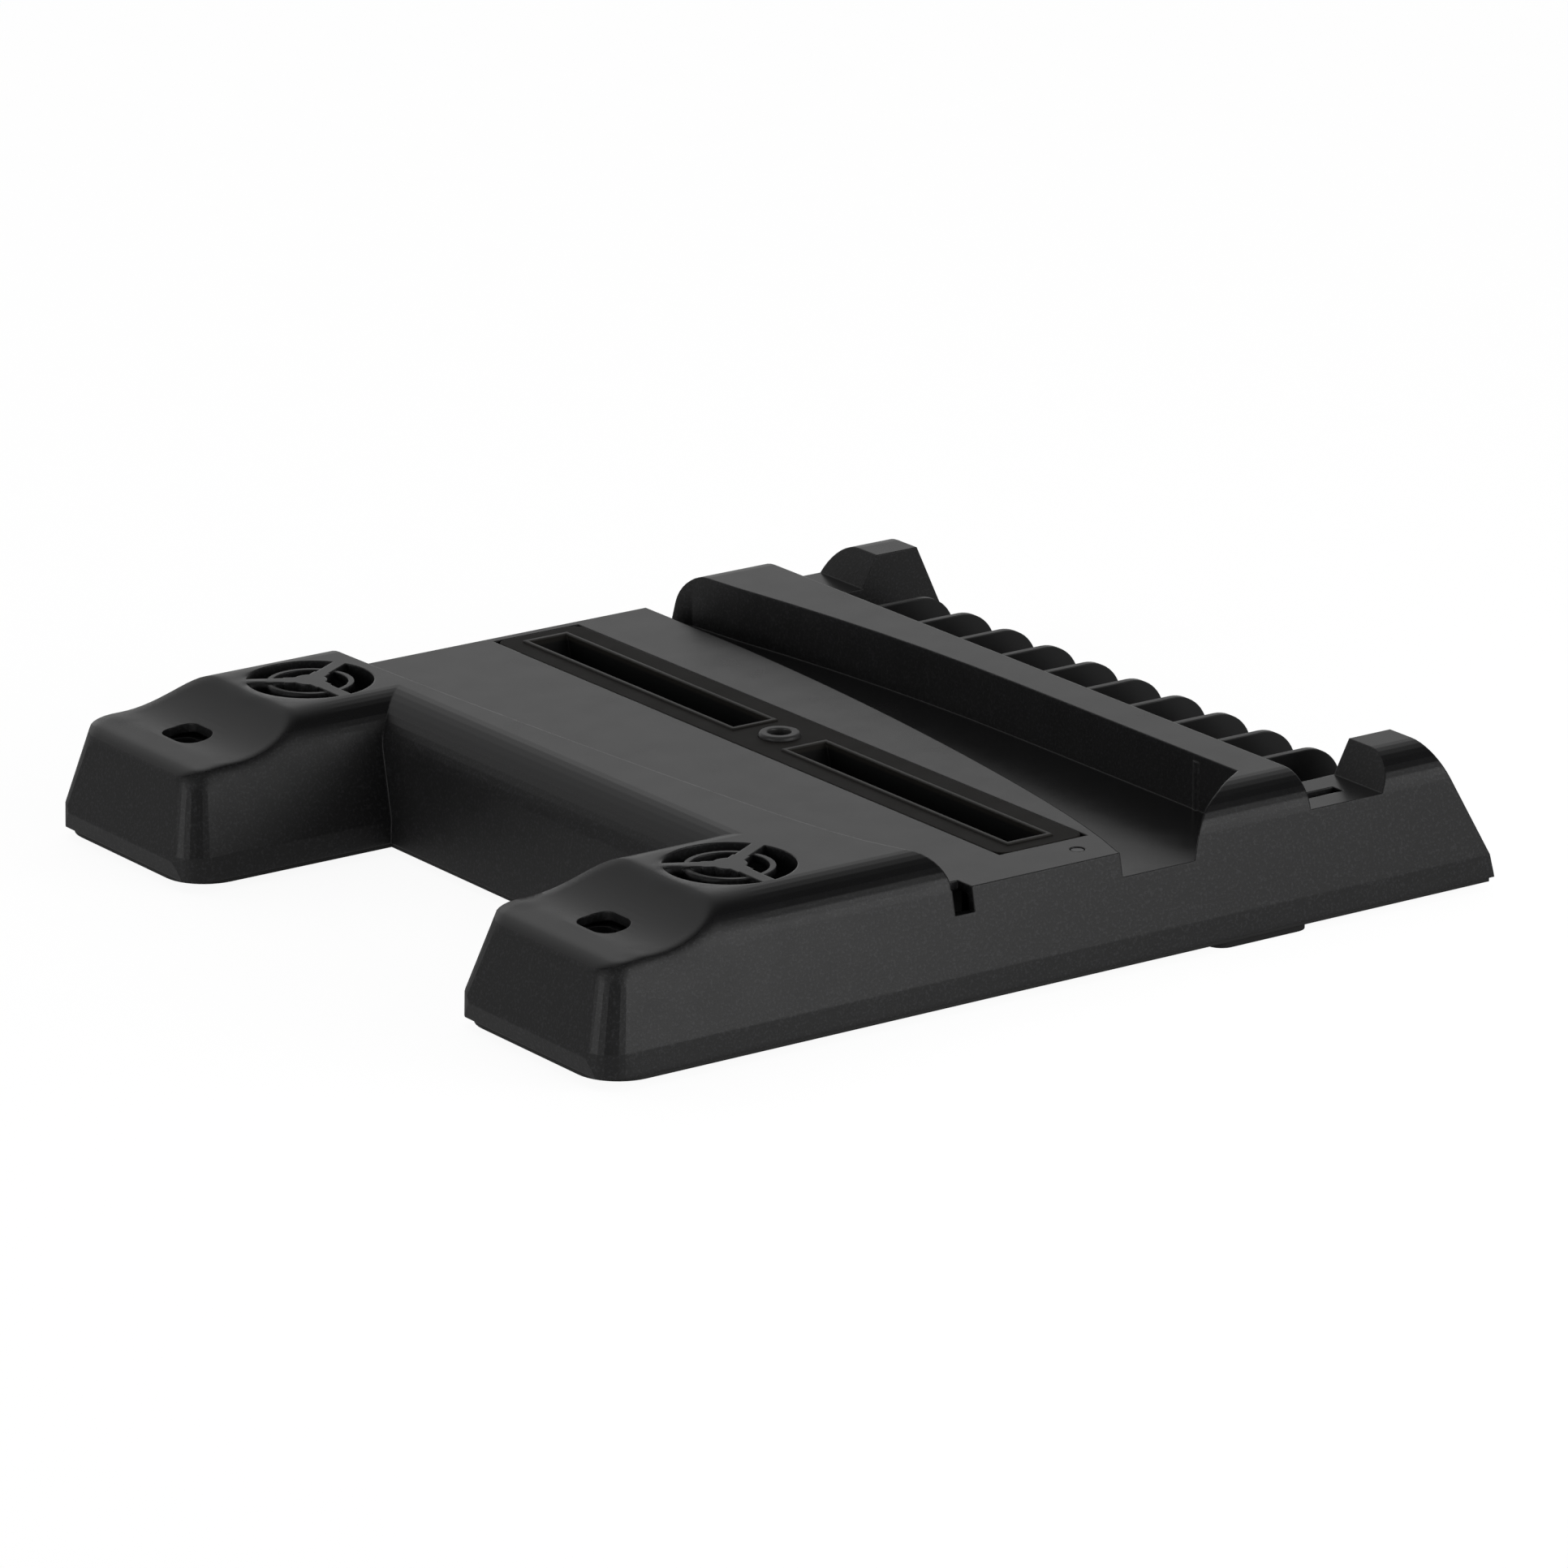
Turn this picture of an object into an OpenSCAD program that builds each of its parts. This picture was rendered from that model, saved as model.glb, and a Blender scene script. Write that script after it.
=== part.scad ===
// Low vertical stand with two controller charging docks, two cooling fans, a console seat and a rack for game cases.
// X runs from the arm ends (-X) to the case rack (+X), Y from the near side (-Y) to the far side, Z up, feet on Z = 0.

/* [Overall] */
// Length from the arm ends to the back of the skirt
body_len = 293.1; // [280:0.2:305]
// Width over the skirt
body_w = 269.2; // [250:0.2:280]
// Height of the flat tops of the arms, the wall and the posts
top_z = 41.5; // [38:0.1:46]
// Height of the rubber feet below the base plate
foot_h = 2; // [1:0.1:3]
// Moulded wall thickness
wall_t = 2.5; // [2:0.1:3]
// Height where the upright skirt ends and the sloping sides begin
skirt_z = 10; // [8:0.1:14]
// Slope of the long sides, sideways travel for each millimetre of height
side_slope = 0.225; // [0.1:0.005:0.3]
// Radius of the rounded top edges along the long sides
edge_r = 12; // [8:0.5:14]

/* [Arms] */
// Width of one arm at the skirt
arm_w = 71.4; // [65:0.1:80]
// Distance from the arm ends to the wall between the arms
gap_len = 65.6; // [58:0.1:72]
// Height of the controller pads
pad_z = 32.7; // [30:0.1:36]
// Distance from the arm end to the crease of the pad
crease_len = 17.5; // [12:0.1:22]
// Distance from the arm end to the start of the curved rise
rise_start = 20.3; // [17:0.1:26]
// Radius of the curved rise from the pad to the block
rise_r = 36; // [28:0.5:45]
// Radius at the skirt of the arm corners that face the near side
near_r = 9.4; // [8:0.1:14]
// Radius at the pad of the arm corners that face the near side
near_top_r = 4.5; // [3:0.1:8]
// Radius at the skirt of the arm corners that face the far side
far_r = 12; // [8:0.1:14]
// Radius at the pad of the arm corners that face the far side
far_top_r = 8.8; // [3:0.1:10]
// Slope of the arm sides that face each other, sideways travel for each millimetre of height
inner_slope = 0.31; // [0.1:0.005:0.4]
// Radius of the rounded edge above the wall between the arms
front_r = 14; // [8:0.5:18]

/* [Fans] */
// Distance from the arm end to the fan centre
fan_off = 63.9; // [60:0.1:66]
// How far each fan centre lies outside the middle of its arm
fan_out = 1.3; // [0:0.1:3]
// Radius of the grille opening
grille_r = 17.75; // [15:0.05:18]
// Side of the square fan frame
fan_side = 40; // [35:0.5:42]
// Thickness of the fan
fan_t = 10; // [7:0.5:12]
// Height of the underside of the fan
fan_z = 18.6; // [14:0.1:20]

/* [Docks] */
// Distance from the arm end to the dock centre
dock_off = 24.1; // [21:0.1:26]
// How far each dock centre lies outside the middle of its arm
dock_out = 1.6; // [0:0.1:3]
// Width of the dock hole across X
dock_w = 11; // [8:0.1:14]
// Length of the dock hole along Y
dock_l = 15; // [14:0.1:22]
// Corner radius of the dock hole
dock_r = 4.5; // [3:0.1:5]

/* [Console seat] */
// Height of the seat plate
seat_z = 32.2; // [30:0.1:34]
// Height of the floor of the deep channel beside the wall
channel_z = 25.8; // [22:0.1:28]
// Thickness of the tall wall where it is straight
tall_wall_t = 13; // [10:0.1:16]
// Distance from the back of the skirt to the side of the tall wall that faces the rack
wall_off = 59.75; // [58:0.05:63]
// Distance from the end of an air slot to the end of the vent strip
slot_rim = 6; // [4:0.1:8]
// Half the distance between the two air slots
slot_mid = 12.4; // [11:0.1:16]
// Width of the air slots inside their beads
slot_w = 13; // [10:0.1:15]
// Width of the vent strip
strip_w = 28.5; // [24:0.1:32]
// How much shorter half the vent strip is than half the body
strip_in = 15.4; // [13:0.1:20]
// X of the middle of the air slots
slot_x = 9.8; // [5:0.1:12]
// How far the vent strip sits toward the far side
strip_shift = 7.2; // [0:0.1:8]

/* [Rack] */
// Thickness of an end post at the skirt
post_t = 26.2; // [22:0.1:34]
// Number of dividing fins
fins = 10; // [6:1:12]
// Thickness of a fin at its top
fin_t = 2; // [1.6:0.1:3]
// Height of the fin tops
fin_z = 33.4; // [30:0.1:35]
// Radius of the rounded outer corner of the fins
fin_r = 12; // [8:0.1:16]
// Distance from the back of the skirt to the end of the flat top of a fin
fin_off = 29.75; // [26:0.05:36]
// Height of the rack floor
rack_floor_z = 17; // [14:0.1:22]
// Distance from the back of the skirt to the foot of the end posts
post_off = 35.25; // [32:0.05:40]
// Length of the flat top of the posts
post_top = 14.2; // [10:0.1:18]
// How far the front of the posts leans toward the rack
post_lean = 5; // [2:0.1:8]
// Slope of the back, backward travel for each millimetre of height
back_slope = 0.462; // [0.3:0.005:0.6]

/* [Fits] */
// Gap round parts that only locate each other
fit_gap = 0.25; // [0.15:0.05:0.4]
// Gap round parts that move
move_gap = 0.4; // [0.3:0.05:0.6]
// Clearance left above a part that is held up from below
rest_gap = 0.1; // [0.05:0.05:0.3]

/* [Hidden] */
$fn = 48;
eps = 0.01;
big = 400;
half_l = body_len / 2;
half_w = body_w / 2;
end_x = -half_l;
back_x = half_l;
base_z = foot_h;
skirt_bottom = base_z + 1.4;
front_x = end_x + gap_len;
arm_in = half_w - arm_w;
arm_mid = half_w - arm_w / 2;
fan_x = end_x + fan_off;
fan_y = arm_mid + fan_out;
dock_x = end_x + dock_off;
dock_y = arm_mid + dock_out;
wall_back_x = back_x - wall_off;
post_x = back_x - post_off;
fin_flat_x = back_x - fin_off;
rack_half = half_w - post_t;
strip_half = half_w - strip_in;
slot_end = strip_half - slot_rim;
cut_y = half_w + 5.4;
end_slope = 0.27;
bevel_z = pad_z - 2.1;
side_in = 0.3;
plate_in = 1;
base_top = base_z + 2.9;
ceiling = top_z - wall_t;

// Edges of the console seat, as X for each Y. Each curve runs between two distances from the long sides.
seat_far_in = 16.6;
seat_near_in = 6.6;
plate_far_in = 41.6;
plate_near_in = 5.6;
bow_far_in = 17.6;
bow_from = 20;
bow_max = 11.4;
function clamp01(v) = max(0, min(1, v));
function along(y, far_in, near_in) = clamp01((half_w - far_in - y) / (body_w - far_in - near_in));
function seat_s(y) = along(y, seat_far_in, seat_near_in);
function seat_left(y) = -61.7 + 18.5 * pow(seat_s(y), 1.35) + 10.6 * pow(seat_s(y), 13.5);
function plate_s(y) = along(y, plate_far_in, plate_near_in);
function plate_right(y) = 49.9 - 24 * pow(plate_s(y), 1.75) - 3.5 * pow(plate_s(y), 10);
function wall_bow(y) = bow_max * pow(1 - along(y, bow_far_in, half_w - bow_from), 2.1);
function wall_front(y) = wall_back_x - tall_wall_t - wall_bow(y);

// Half width of the body at a height, moved inward by a wall thickness.
function side_y(z, in, slope = side_slope) = half_w - in - side_in - slope * max(0, z - skirt_z);
round_z = top_z - edge_r;

// One side of the cross section: skirt, slope and rounded top edge.
function side_points(in, slope = side_slope) =
    let (deg = atan(slope), round_y = side_y(round_z, 0, slope) - edge_r / cos(deg))
    concat([[half_w - in, skirt_bottom - 2], [half_w - in, skirt_bottom + 1], [side_y(skirt_z, in), skirt_z]],
        [for (a = [deg:(90 - deg) / 9:90.001])
            [round_y + (edge_r - in) * cos(a), round_z + (edge_r - in) * sin(a)]]);

function mirror_points(p) = [for (i = [len(p) - 1:-1:0]) [-p[i][0], p[i][1]]];

// Extrudes a cross section drawn in Y and Z along X.
module along_x(x0, x1) {
    translate([x0, 0, 0])
        rotate([90, 0, 90])
            linear_extrude(x1 - x0)
                children();
}

// Extrudes a profile drawn in X and Z along Y.
module along_y(y0, y1) {
    translate([0, y1, 0])
        rotate([90, 0, 0])
            linear_extrude(y1 - y0)
                children();
}

// Places its children on the far side and, mirrored, on the near side.
module both_sides() {
    children();
    mirror([0, 1, 0])
        children();
}

module tube(r1, r2, h) {
    difference() {
        cylinder(r = r1, h = h);
        translate([0, 0, -1])
            cylinder(r = r2, h = h + 2);
    }
}

// A block with rounded upright corners, centred in plan.
module rounded_block(w, l, r, h) {
    translate([-w / 2 + r, -l / 2, 0])
        cube([w - 2 * r, l, h]);
    translate([-w / 2, -l / 2 + r, 0])
        cube([w, l - 2 * r, h]);
    for (sx = [-1, 1])
        for (sy = [-1, 1])
            translate([sx * (w / 2 - r), sy * (l / 2 - r), 0])
                cylinder(r = r, h = h);
}

// Side profile of an arm: end face, bevel, pad, curved rise and block.
function rise_z(x, in) = pad_z + rise_r - sqrt(pow(rise_r + in, 2) - pow(max(0, x - end_x - rise_start), 2));
rise_end = sqrt(pow(rise_r, 2) - pow(rise_r - (top_z - pad_z), 2));
module arm_profile(in) {
    zt = top_z - in;
    run = sqrt(pow(rise_r + in, 2) - pow(rise_r - (zt - pad_z), 2));
    polygon(concat(
        [[0, skirt_bottom - 2], [end_x + in + 1.2, skirt_bottom - 2], [end_x + in + 1.2, skirt_bottom],
            [end_x + in, skirt_z - 1.5], [end_x + in + end_slope * (bevel_z - skirt_z), bevel_z - in * 0.7],
            [end_x + 8.8 + in * 0.6, pad_z - 0.7 - in], [end_x + crease_len, pad_z - in]],
        [for (i = [0:10]) let (x = end_x + rise_start + run * i / 10) [x, rise_z(x, in)]],
        [[0, zt]]));
}

// Cross section of one arm, with both top edges rounded.
module arm_section(in) {
    outer = side_points(in);
    inner = side_points(in, inner_slope);
    polygon(concat(outer, [for (i = [len(inner) - 1:-1:0]) [2 * arm_mid - inner[i][0], inner[i][1]]]));
}

// Conical rounding of the two upright corners at the end of an arm, each given by its radius at the skirt and the pad.
module arm_corners(outer, inner) {
    grow = 0.1;
    cap_z = pad_z + 2;
    // height, place in the corner pair, extra radius
    levels = [[skirt_bottom - 2, 0, 0], [skirt_z, 0, 0], [cap_z, 1, 2]];
    hull() {
        for (v = levels) {
            rise = max(0, v[0] - skirt_z);
            r_out = outer[v[1]] + v[2];
            r_in = inner[v[1]] + v[2];
            end_at = end_x - grow + end_slope * rise;
            inward = (v[0] < skirt_z ? 0 : side_in) - grow;
            y_out = half_w - inward - side_slope * rise;
            y_in = arm_in + inward + inner_slope * rise;
            translate([end_at + r_out, y_out - r_out, v[0]])
                cylinder(r = r_out, h = 0.1, $fn = 32);
            translate([end_at + r_in, y_in + r_in, v[0]])
                cylinder(r = r_in, h = 0.1, $fn = 32);
            translate([front_x + 20, y_in, v[0]])
                cube([10, y_out - y_in, 0.1]);
        }
    }
}

module arm_outer(outer, inner) {
    intersection() {
        along_y(arm_in - 5, half_w + 5)
            arm_profile(0);
        along_x(end_x - 5, front_x + 24)
            arm_section(0);
        union() {
            arm_corners(outer, inner);
            translate([end_x + rise_start, arm_in - 5, pad_z + 2])
                cube([big, arm_w + 10, 20]);
        }
    }
}

// The far arm, and the near arm as its mirror image but for the corner radii.
module both_arms() {
    far_corner = [far_r, far_top_r];
    near_corner = [near_r, near_top_r];
    arm_outer(far_corner, near_corner);
    mirror([0, 1, 0])
        arm_outer(near_corner, far_corner);
}

// Side profile of the main body: wall between the arms, rounded edge, flat top and sloping back.
module main_profile(in) {
    fx = front_x + 1.7;
    cx = fx + front_r;
    cz = top_z - front_r;
    polygon(concat(
        [[front_x + in, skirt_bottom - 2]],
        [for (a = [180:-9:90]) [cx + (front_r - in) * cos(a), cz + (front_r - in) * sin(a)]],
        [[post_x + post_lean + post_top - in * 0.6, top_z - in],
            [post_x + post_lean + post_top + back_slope * (top_z - skirt_z) - in, skirt_z],
            [back_x - in, skirt_bottom], [back_x - in, skirt_bottom - 2]]));
}

module main_body(in) {
    intersection() {
        along_y(-half_w, half_w)
            main_profile(in);
        along_x(front_x - 1, back_x + 1)
            polygon(concat(side_points(in), mirror_points(side_points(in))));
    }
}

// Plan of the seat plate and of the deep channel beside the tall wall.
module seat_plan() {
    ys = [for (i = [0:24]) cut_y * (1 - i / 12)];
    polygon(concat([for (y = ys) [seat_left(y), y]], [for (i = [24:-1:0]) [plate_right(ys[i]) + 0.5, ys[i]]]));
}

// Near end of the channel as X and distance from the near side.
near_lip = [[46, -5.4], [46, 3.6], [48.4, 5.1], [53.2, 8.2], [60.6, 12.2]];
module channel_plan() {
    ys = [for (i = [0:24]) cut_y * (i / 12 - 1)];
    wall_from = 20.6 - half_w;
    wall_to = half_w - 10.6;
    wall_ys = [for (i = [0:12]) wall_from + (wall_to - wall_from) * i / 12];
    polygon(concat([for (i = [24:-1:0]) [plate_right(ys[i]), ys[i]]], [for (p = near_lip) [p[0], p[1] - half_w]],
        [for (y = wall_ys) [wall_front(y), y]], [[59.8, half_w - 4.1], [59, cut_y]]));
}

module above(z, h = 40) {
    translate([0, 0, z])
        linear_extrude(h)
            children();
}

// The console seat, its channel, the ledges and the room for the case rack.
module seat_cuts() {
    above(seat_z)
        seat_plan();
    above(channel_z)
        channel_plan();
    along_y(-half_w - 1, half_w + 1)
        polygon([[wall_back_x, seat_z], [post_x, seat_z], [post_x + post_lean, top_z],
            [post_x + post_lean, top_z + 5], [wall_back_x, top_z + 5]]);
    translate([wall_back_x, -rack_half, rack_floor_z - 3])
        cube([big, 2 * rack_half, 40]);
}

// Hollow inside of the housing.
module arm_cavity() {
    r = far_r - wall_t;
    intersection() {
        along_y(arm_in, half_w)
            arm_profile(wall_t);
        along_x(end_x, front_x + 22)
            arm_section(wall_t);
        union() {
            for (s = [-1, 1])
                translate([end_x + wall_t + r, arm_mid + s * (arm_w / 2 - wall_t - r), 0])
                    cylinder(r = r, h = 50);
            translate([end_x + wall_t, arm_in + far_r, 0])
                cube([far_r, arm_w - 2 * far_r, 50]);
            translate([end_x + far_r, arm_in, 0])
                cube([big, arm_w, 50]);
        }
        cavity_ceiling();
    }
}

module cavity_ceiling() {
    ys = [for (i = [0:20]) (half_w - 4.6) * (i / 10 - 1)];
    wall_from = 28.6 - half_w;
    wall_to = half_w - 20.6;
    // raised zone and arms
    above(0, ceiling)
        polygon(concat([[end_x, -cut_y], [end_x, cut_y]], [for (i = [20:-1:0]) [seat_left(ys[i]) - wall_t, ys[i]]]));
    // under the seat plate
    above(0, seat_z - wall_t)
        polygon(concat([[end_x, -cut_y], [end_x, cut_y]], [for (i = [20:-1:0]) [plate_right(ys[i]) - wall_t, ys[i]]]));
    // under the channel
    above(0, channel_z - wall_t)
        translate([end_x, -cut_y])
            square([wall_back_x - wall_t - end_x, 2 * cut_y]);
    // inside the tall wall
    above(0, ceiling)
        polygon(concat([for (i = [0:12]) let (y = wall_from + (wall_to - wall_from) * i / 12) [wall_front(y) + wall_t, y]],
            [[wall_back_x - wall_t, wall_to], [wall_back_x - wall_t, wall_from]]));
    // under the rack
    above(0, rack_floor_z - 3 - wall_t)
        translate([end_x, -cut_y])
            square([body_len, 2 * cut_y]);
    // inside the posts
    both_sides()
        translate([wall_back_x - wall_t, rack_half + wall_t, 0])
            cube([post_x + post_lean + 10 - wall_back_x, post_t, seat_z - wall_t]);
}

module main_cavity() {
    intersection() {
        main_body(wall_t);
        cavity_ceiling();
    }
}

// Openings of one fan grille, cut down to a fixed depth.
module grille_bars() {
    hub_r = 4.7;
    ring_r = grille_r * 0.64;
    difference() {
        cylinder(r = grille_r, h = 6);
        difference() {
            translate([0, 0, 1])
                cylinder(r = ring_r + 0.8, h = 2.8);
            cylinder(r = ring_r - 0.8, h = 6);
        }
        translate([0, 0, 1])
            cylinder(r = hub_r, h = 3.3);
        for (a = [0:120:240])
            rotate([0, 0, 30 + a]) {
                translate([0, -1.9, 1])
                    cube([grille_r + 1, 3.8, 3.3]);
                translate([hub_r - 1, -2.4, 1])
                    cube([3.6, 4.8, 3.3]);
            }
    }
}

// Each screw boss as X, Y and the height where it meets the moulding above.
boss_spots = [[end_x + 18.5, arm_mid - 25, pad_z - 2], [end_x + 18.5, arm_mid + 25, pad_z - 2],
    [seat_left(-arm_in) + 6, arm_in - 1, seat_z - 2], [-18, half_w - 14.6, seat_z - 2], [27, arm_in - 1, seat_z - 2],
    [wall_back_x - 10, half_w - 38.6, ceiling + 0.5], [back_x - 10.5, half_w - 22.6, rack_floor_z - 5],
    [back_x - 10.5, rack_half / 3, rack_floor_z - 5]];
fan_screw_at = fan_side / 2 - 4;

// Outer skin, cavity, screw bosses and all openings of the one-piece top moulding.
module top_housing() {
    color([0.09, 0.09, 0.095])
        difference() {
            union() {
                difference() {
                    union() {
                        both_arms();
                        main_body(0);
                    }
                    seat_cuts();
                    both_sides()
                        arm_cavity();
                    main_cavity();
                    translate([-big, -big, skirt_bottom - 10])
                        cube([2 * big, 2 * big, 10]);
                }
                housing_bosses();
            }
            for (s = [-1, 1])
                translate([fan_x, s * fan_y, top_z - 4.2])
                    grille_bars();
            both_sides()
                translate([dock_x, dock_y, pad_z - 6])
                    rounded_block(dock_w, dock_l, dock_r, 10);
            strip_pocket();
            // screw collar seat and indicator hole
            translate([slot_x, strip_shift, seat_z - 10])
                cylinder(r = 4.8 + fit_gap, h = 20);
            translate([lens_x, lens_y, seat_z - 10])
                cylinder(r = lens_r + fit_gap, h = 20);
            side_notch();
            ledge_slits();
            far_side_holes();
            screw_pilots();
        }
}

lens_x = 15.4;
lens_y = 14.3 - half_w;
lens_r = 1.8;

// Shallow pocket and two long openings under the vent strip.
module strip_pocket() {
    translate([slot_x + 0.5 - strip_w / 2 - fit_gap, strip_shift - strip_half - fit_gap, seat_z - 1.3])
        cube([strip_w + 2 * fit_gap, 2 * strip_half + 2 * fit_gap, 5]);
    for (s = [-1, 1])
        translate([slot_x - slot_w / 2 - 1.6, strip_shift + (s > 0 ? slot_mid - 1.6 : -slot_end - 1.6), seat_z - 12])
            cube([slot_w + 3.2, slot_end - slot_mid + 3.2, 20]);
}

// Cable notch in the near side beside the raised block.
module side_notch() {
    translate([-32.3, -half_w - 1, seat_z - 6.6])
        cube([6.4, 12.5, 20]);
}

// Short slit in each ledge between the tall wall and a post.
module ledge_slits() {
    both_sides()
        translate([wall_back_x + 5.2, rack_half + 8.4, seat_z - 4])
            cube([12.2, 4.4, 8]);
}

inlet_x = 36;
inlet_z = 15.4;
button_x = 58;
button_z = 16.8;

// Openings in the far side for the power inlet and the fan button.
module far_side_holes() {
    translate([inlet_x - 4.9, half_w - 12, inlet_z - 2])
        cube([9.8, 20, 4]);
    translate([button_x - 5 - move_gap, half_w - 12, button_z - 2 - move_gap])
        cube([10 + 2 * move_gap, 20, 4 + 2 * move_gap]);
}

// Upright bosses that take the screws of the base plate, the collars over the fans and their screw bosses.
module housing_bosses() {
    both_sides()
        for (p = boss_spots)
            translate([p[0], p[1], base_top])
                cylinder(r = 3.4, h = p[2] - base_top);
    both_sides()
        translate([fan_x, fan_y, fan_z + fan_t + rest_gap])
            tube(grille_r + 2, grille_r, ceiling + 0.5 - fan_z - fan_t - rest_gap);
    both_sides()
        for (p = fan_corners)
            translate([fan_x + p[0], fan_y + p[1], fan_z + fan_t + rest_gap])
                cylinder(r = 2.6, h = ceiling + 0.5 - fan_z - fan_t - rest_gap);
}

fan_corners = [[-fan_screw_at, fan_screw_at], [fan_screw_at, -fan_screw_at]];

module screw_pilots() {
    both_sides()
        for (p = boss_spots)
            translate([p[0], p[1], base_top - 1])
                cylinder(r = 1.15, h = 7.5);
    both_sides()
        for (p = fan_corners)
            translate([fan_x + p[0], fan_y + p[1], fan_z + fan_t - 1])
                cylinder(r = 1, h = 5.5);
    for (p = rack_screw_spots)
        translate([p[0], p[1], 5])
            cylinder(r = 1.8, h = 20);
}

// Outline of the base: the body and two arms with rounded ends.
module u_slab(z0, h, in) {
    end_in = end_x + in + 0.9;
    r_in = far_r + 0.6;
    translate([front_x + in, -half_w + in, z0])
        cube([back_x - front_x - 2 * in, body_w - 2 * in, h]);
    both_sides() {
        translate([end_in + r_in, arm_in + in, z0])
            cube([gap_len, arm_w - 2 * in, h]);
        translate([end_in, arm_in + r_in + in, z0])
            cube([gap_len, arm_w - 2 * r_in - 2 * in, h]);
        for (y = [half_w - in - r_in, arm_in + in + r_in])
            translate([end_in + r_in, y, z0])
                cylinder(r = r_in, h = h);
    }
}

feet_spots = [[69.2, half_w - 7], [end_x + 28.5, arm_mid], [back_x - 28.5, rack_half - 48.4]];
foot_l = 31.7;
foot_w = 10;
foot_r = 4.5;

module base_plate() {
    color([0.08, 0.08, 0.085])
        difference() {
            union() {
                u_slab(base_z, skirt_bottom - base_z, plate_in);
                u_slab(skirt_bottom - eps, base_top - skirt_bottom, wall_t + fit_gap);
                board_posts();
            }
            // air inlets below the fans
            both_sides()
                for (i = [-3:3])
                    translate([fan_x - 1.2 + i * 4.6, fan_y - slat(i), 0])
                        cube([2.4, 2 * slat(i), 20]);
            both_sides()
                for (p = feet_spots)
                    translate([p[0], p[1], base_z - 1])
                        rounded_block(foot_l, foot_w, foot_r, 2);
            both_sides()
                for (p = boss_spots)
                    translate([p[0], p[1], 0]) {
                        cylinder(r = 1.7, h = 20);
                        cylinder(r = 3.1, h = base_z + 1.4);
                    }
            for (p = board_screws)
                translate([p[0], p[1], base_top + 1])
                    cylinder(r = 0.9, h = 20);
        }
}

function slat(i) = sqrt(pow(17, 2) - pow(i * 4.6, 2));

board_x = 20;
board_y = half_w - 36.6;
board_l = 50;
board_w = 28;
board_z = 12.2;
board_screws = [[board_x + 4, board_y + 4], [board_x + board_l - 4, board_y + 4],
    [board_x + 4, board_y + board_w - 4], [board_x + board_l - 4, board_y + board_w - 4]];
dock_board_z = 14;
dock_posts = [[-9, -9], [9, 9]];

// Posts that carry the circuit boards.
module board_posts() {
    for (p = board_screws)
        translate([p[0], p[1], base_top - eps])
            cylinder(r = 2.4, h = board_z - base_top);
    both_sides()
        for (p = dock_posts)
            translate([dock_x + p[0], dock_y + p[1], base_top - eps])
                cylinder(r = 2.4, h = dock_board_z - base_top);
}

// Inlay round the air slots, with sloping throats below each slot.
module vent_strip() {
    t = 1.2;
    color([0.12, 0.115, 0.11])
        difference() {
            union() {
                strip_outline(seat_z - t, t);
                for (s = [0, 1]) {
                    // bead round the slot and the throat below
                    translate([slot_x - slot_w / 2 - 1, slot_start(s) - 1, seat_z - eps])
                        cube([slot_w + 2, slot_span + 2, 0.45]);
                    translate([slot_x - slot_w / 2 - 1.2, slot_start(s) - 1.2, seat_z - 9.5])
                        cube([slot_w + 2.4, slot_span + 2.4, 9]);
                }
            }
            for (s = [0, 1])
                hull() {
                    translate([slot_x - slot_w / 2, slot_start(s), seat_z + 1])
                        cube([slot_w, slot_span, 0.1]);
                    translate([slot_x - slot_w / 2 + 2, slot_start(s) + 7, seat_z - 10])
                        cube([slot_w - 4, slot_span - 14, 0.1]);
                }
            translate([slot_x, strip_shift, 0])
                cylinder(r = 4.8 + fit_gap, h = 60);
        }
}

slot_span = slot_end - slot_mid;
function slot_start(s) = strip_shift + (s > 0 ? slot_mid : -slot_end);

// Flat strip with rounded corners.
module strip_outline(z, h) {
    r = 4;
    x0 = slot_x + 0.5 - strip_w / 2;
    y0 = strip_shift - strip_half;
    translate([x0 + r, y0, z])
        cube([strip_w - 2 * r, 2 * strip_half, h]);
    translate([x0, y0 + r, z])
        cube([strip_w, 2 * strip_half - 2 * r, h]);
    for (sx = [0, 1])
        for (sy = [0, 1])
            translate([x0 + r + sx * (strip_w - 2 * r), y0 + r + sy * (2 * strip_half - 2 * r), z])
                cylinder(r = r, h = h);
}

// Raised bushing for the screw that holds the console down.
module screw_collar() {
    color([0.16, 0.16, 0.165])
        translate([slot_x, strip_shift, 0])
            difference() {
                union() {
                    translate([0, 0, seat_z - 8])
                        cylinder(r = 4.8, h = 8.2);
                    translate([0, 0, seat_z + 0.05])
                        cylinder(r1 = 6.05, r2 = 5.4, h = 1.1);
                }
                cylinder(r = 3.4, h = 60);
            }
}

rack_screw_spots = [for (s = [-1, 1]) for (p = [[wall_back_x + 9.2, 28.4], [back_x - 22.5, 10.4]])
    [p[0], s * (rack_half - p[1])]];

// Profile of a fin: flat top, rounded outer corner and sloping back.
module fin_profile() {
    cz = fin_z - fin_r;
    last = 90 - atan(back_slope);
    x_end = fin_flat_x + fin_r * sin(last);
    z_end = cz + fin_r * cos(last);
    polygon(concat([[wall_back_x + fit_gap, rack_floor_z - 1], [wall_back_x + fit_gap, fin_z]],
        [for (a = [0:last / 10:last + 0.01]) [fin_flat_x + fin_r * sin(a), cz + fin_r * cos(a)]],
        [[x_end + back_slope * (z_end - rack_floor_z + 1), rack_floor_z - 1]]));
}

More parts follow.
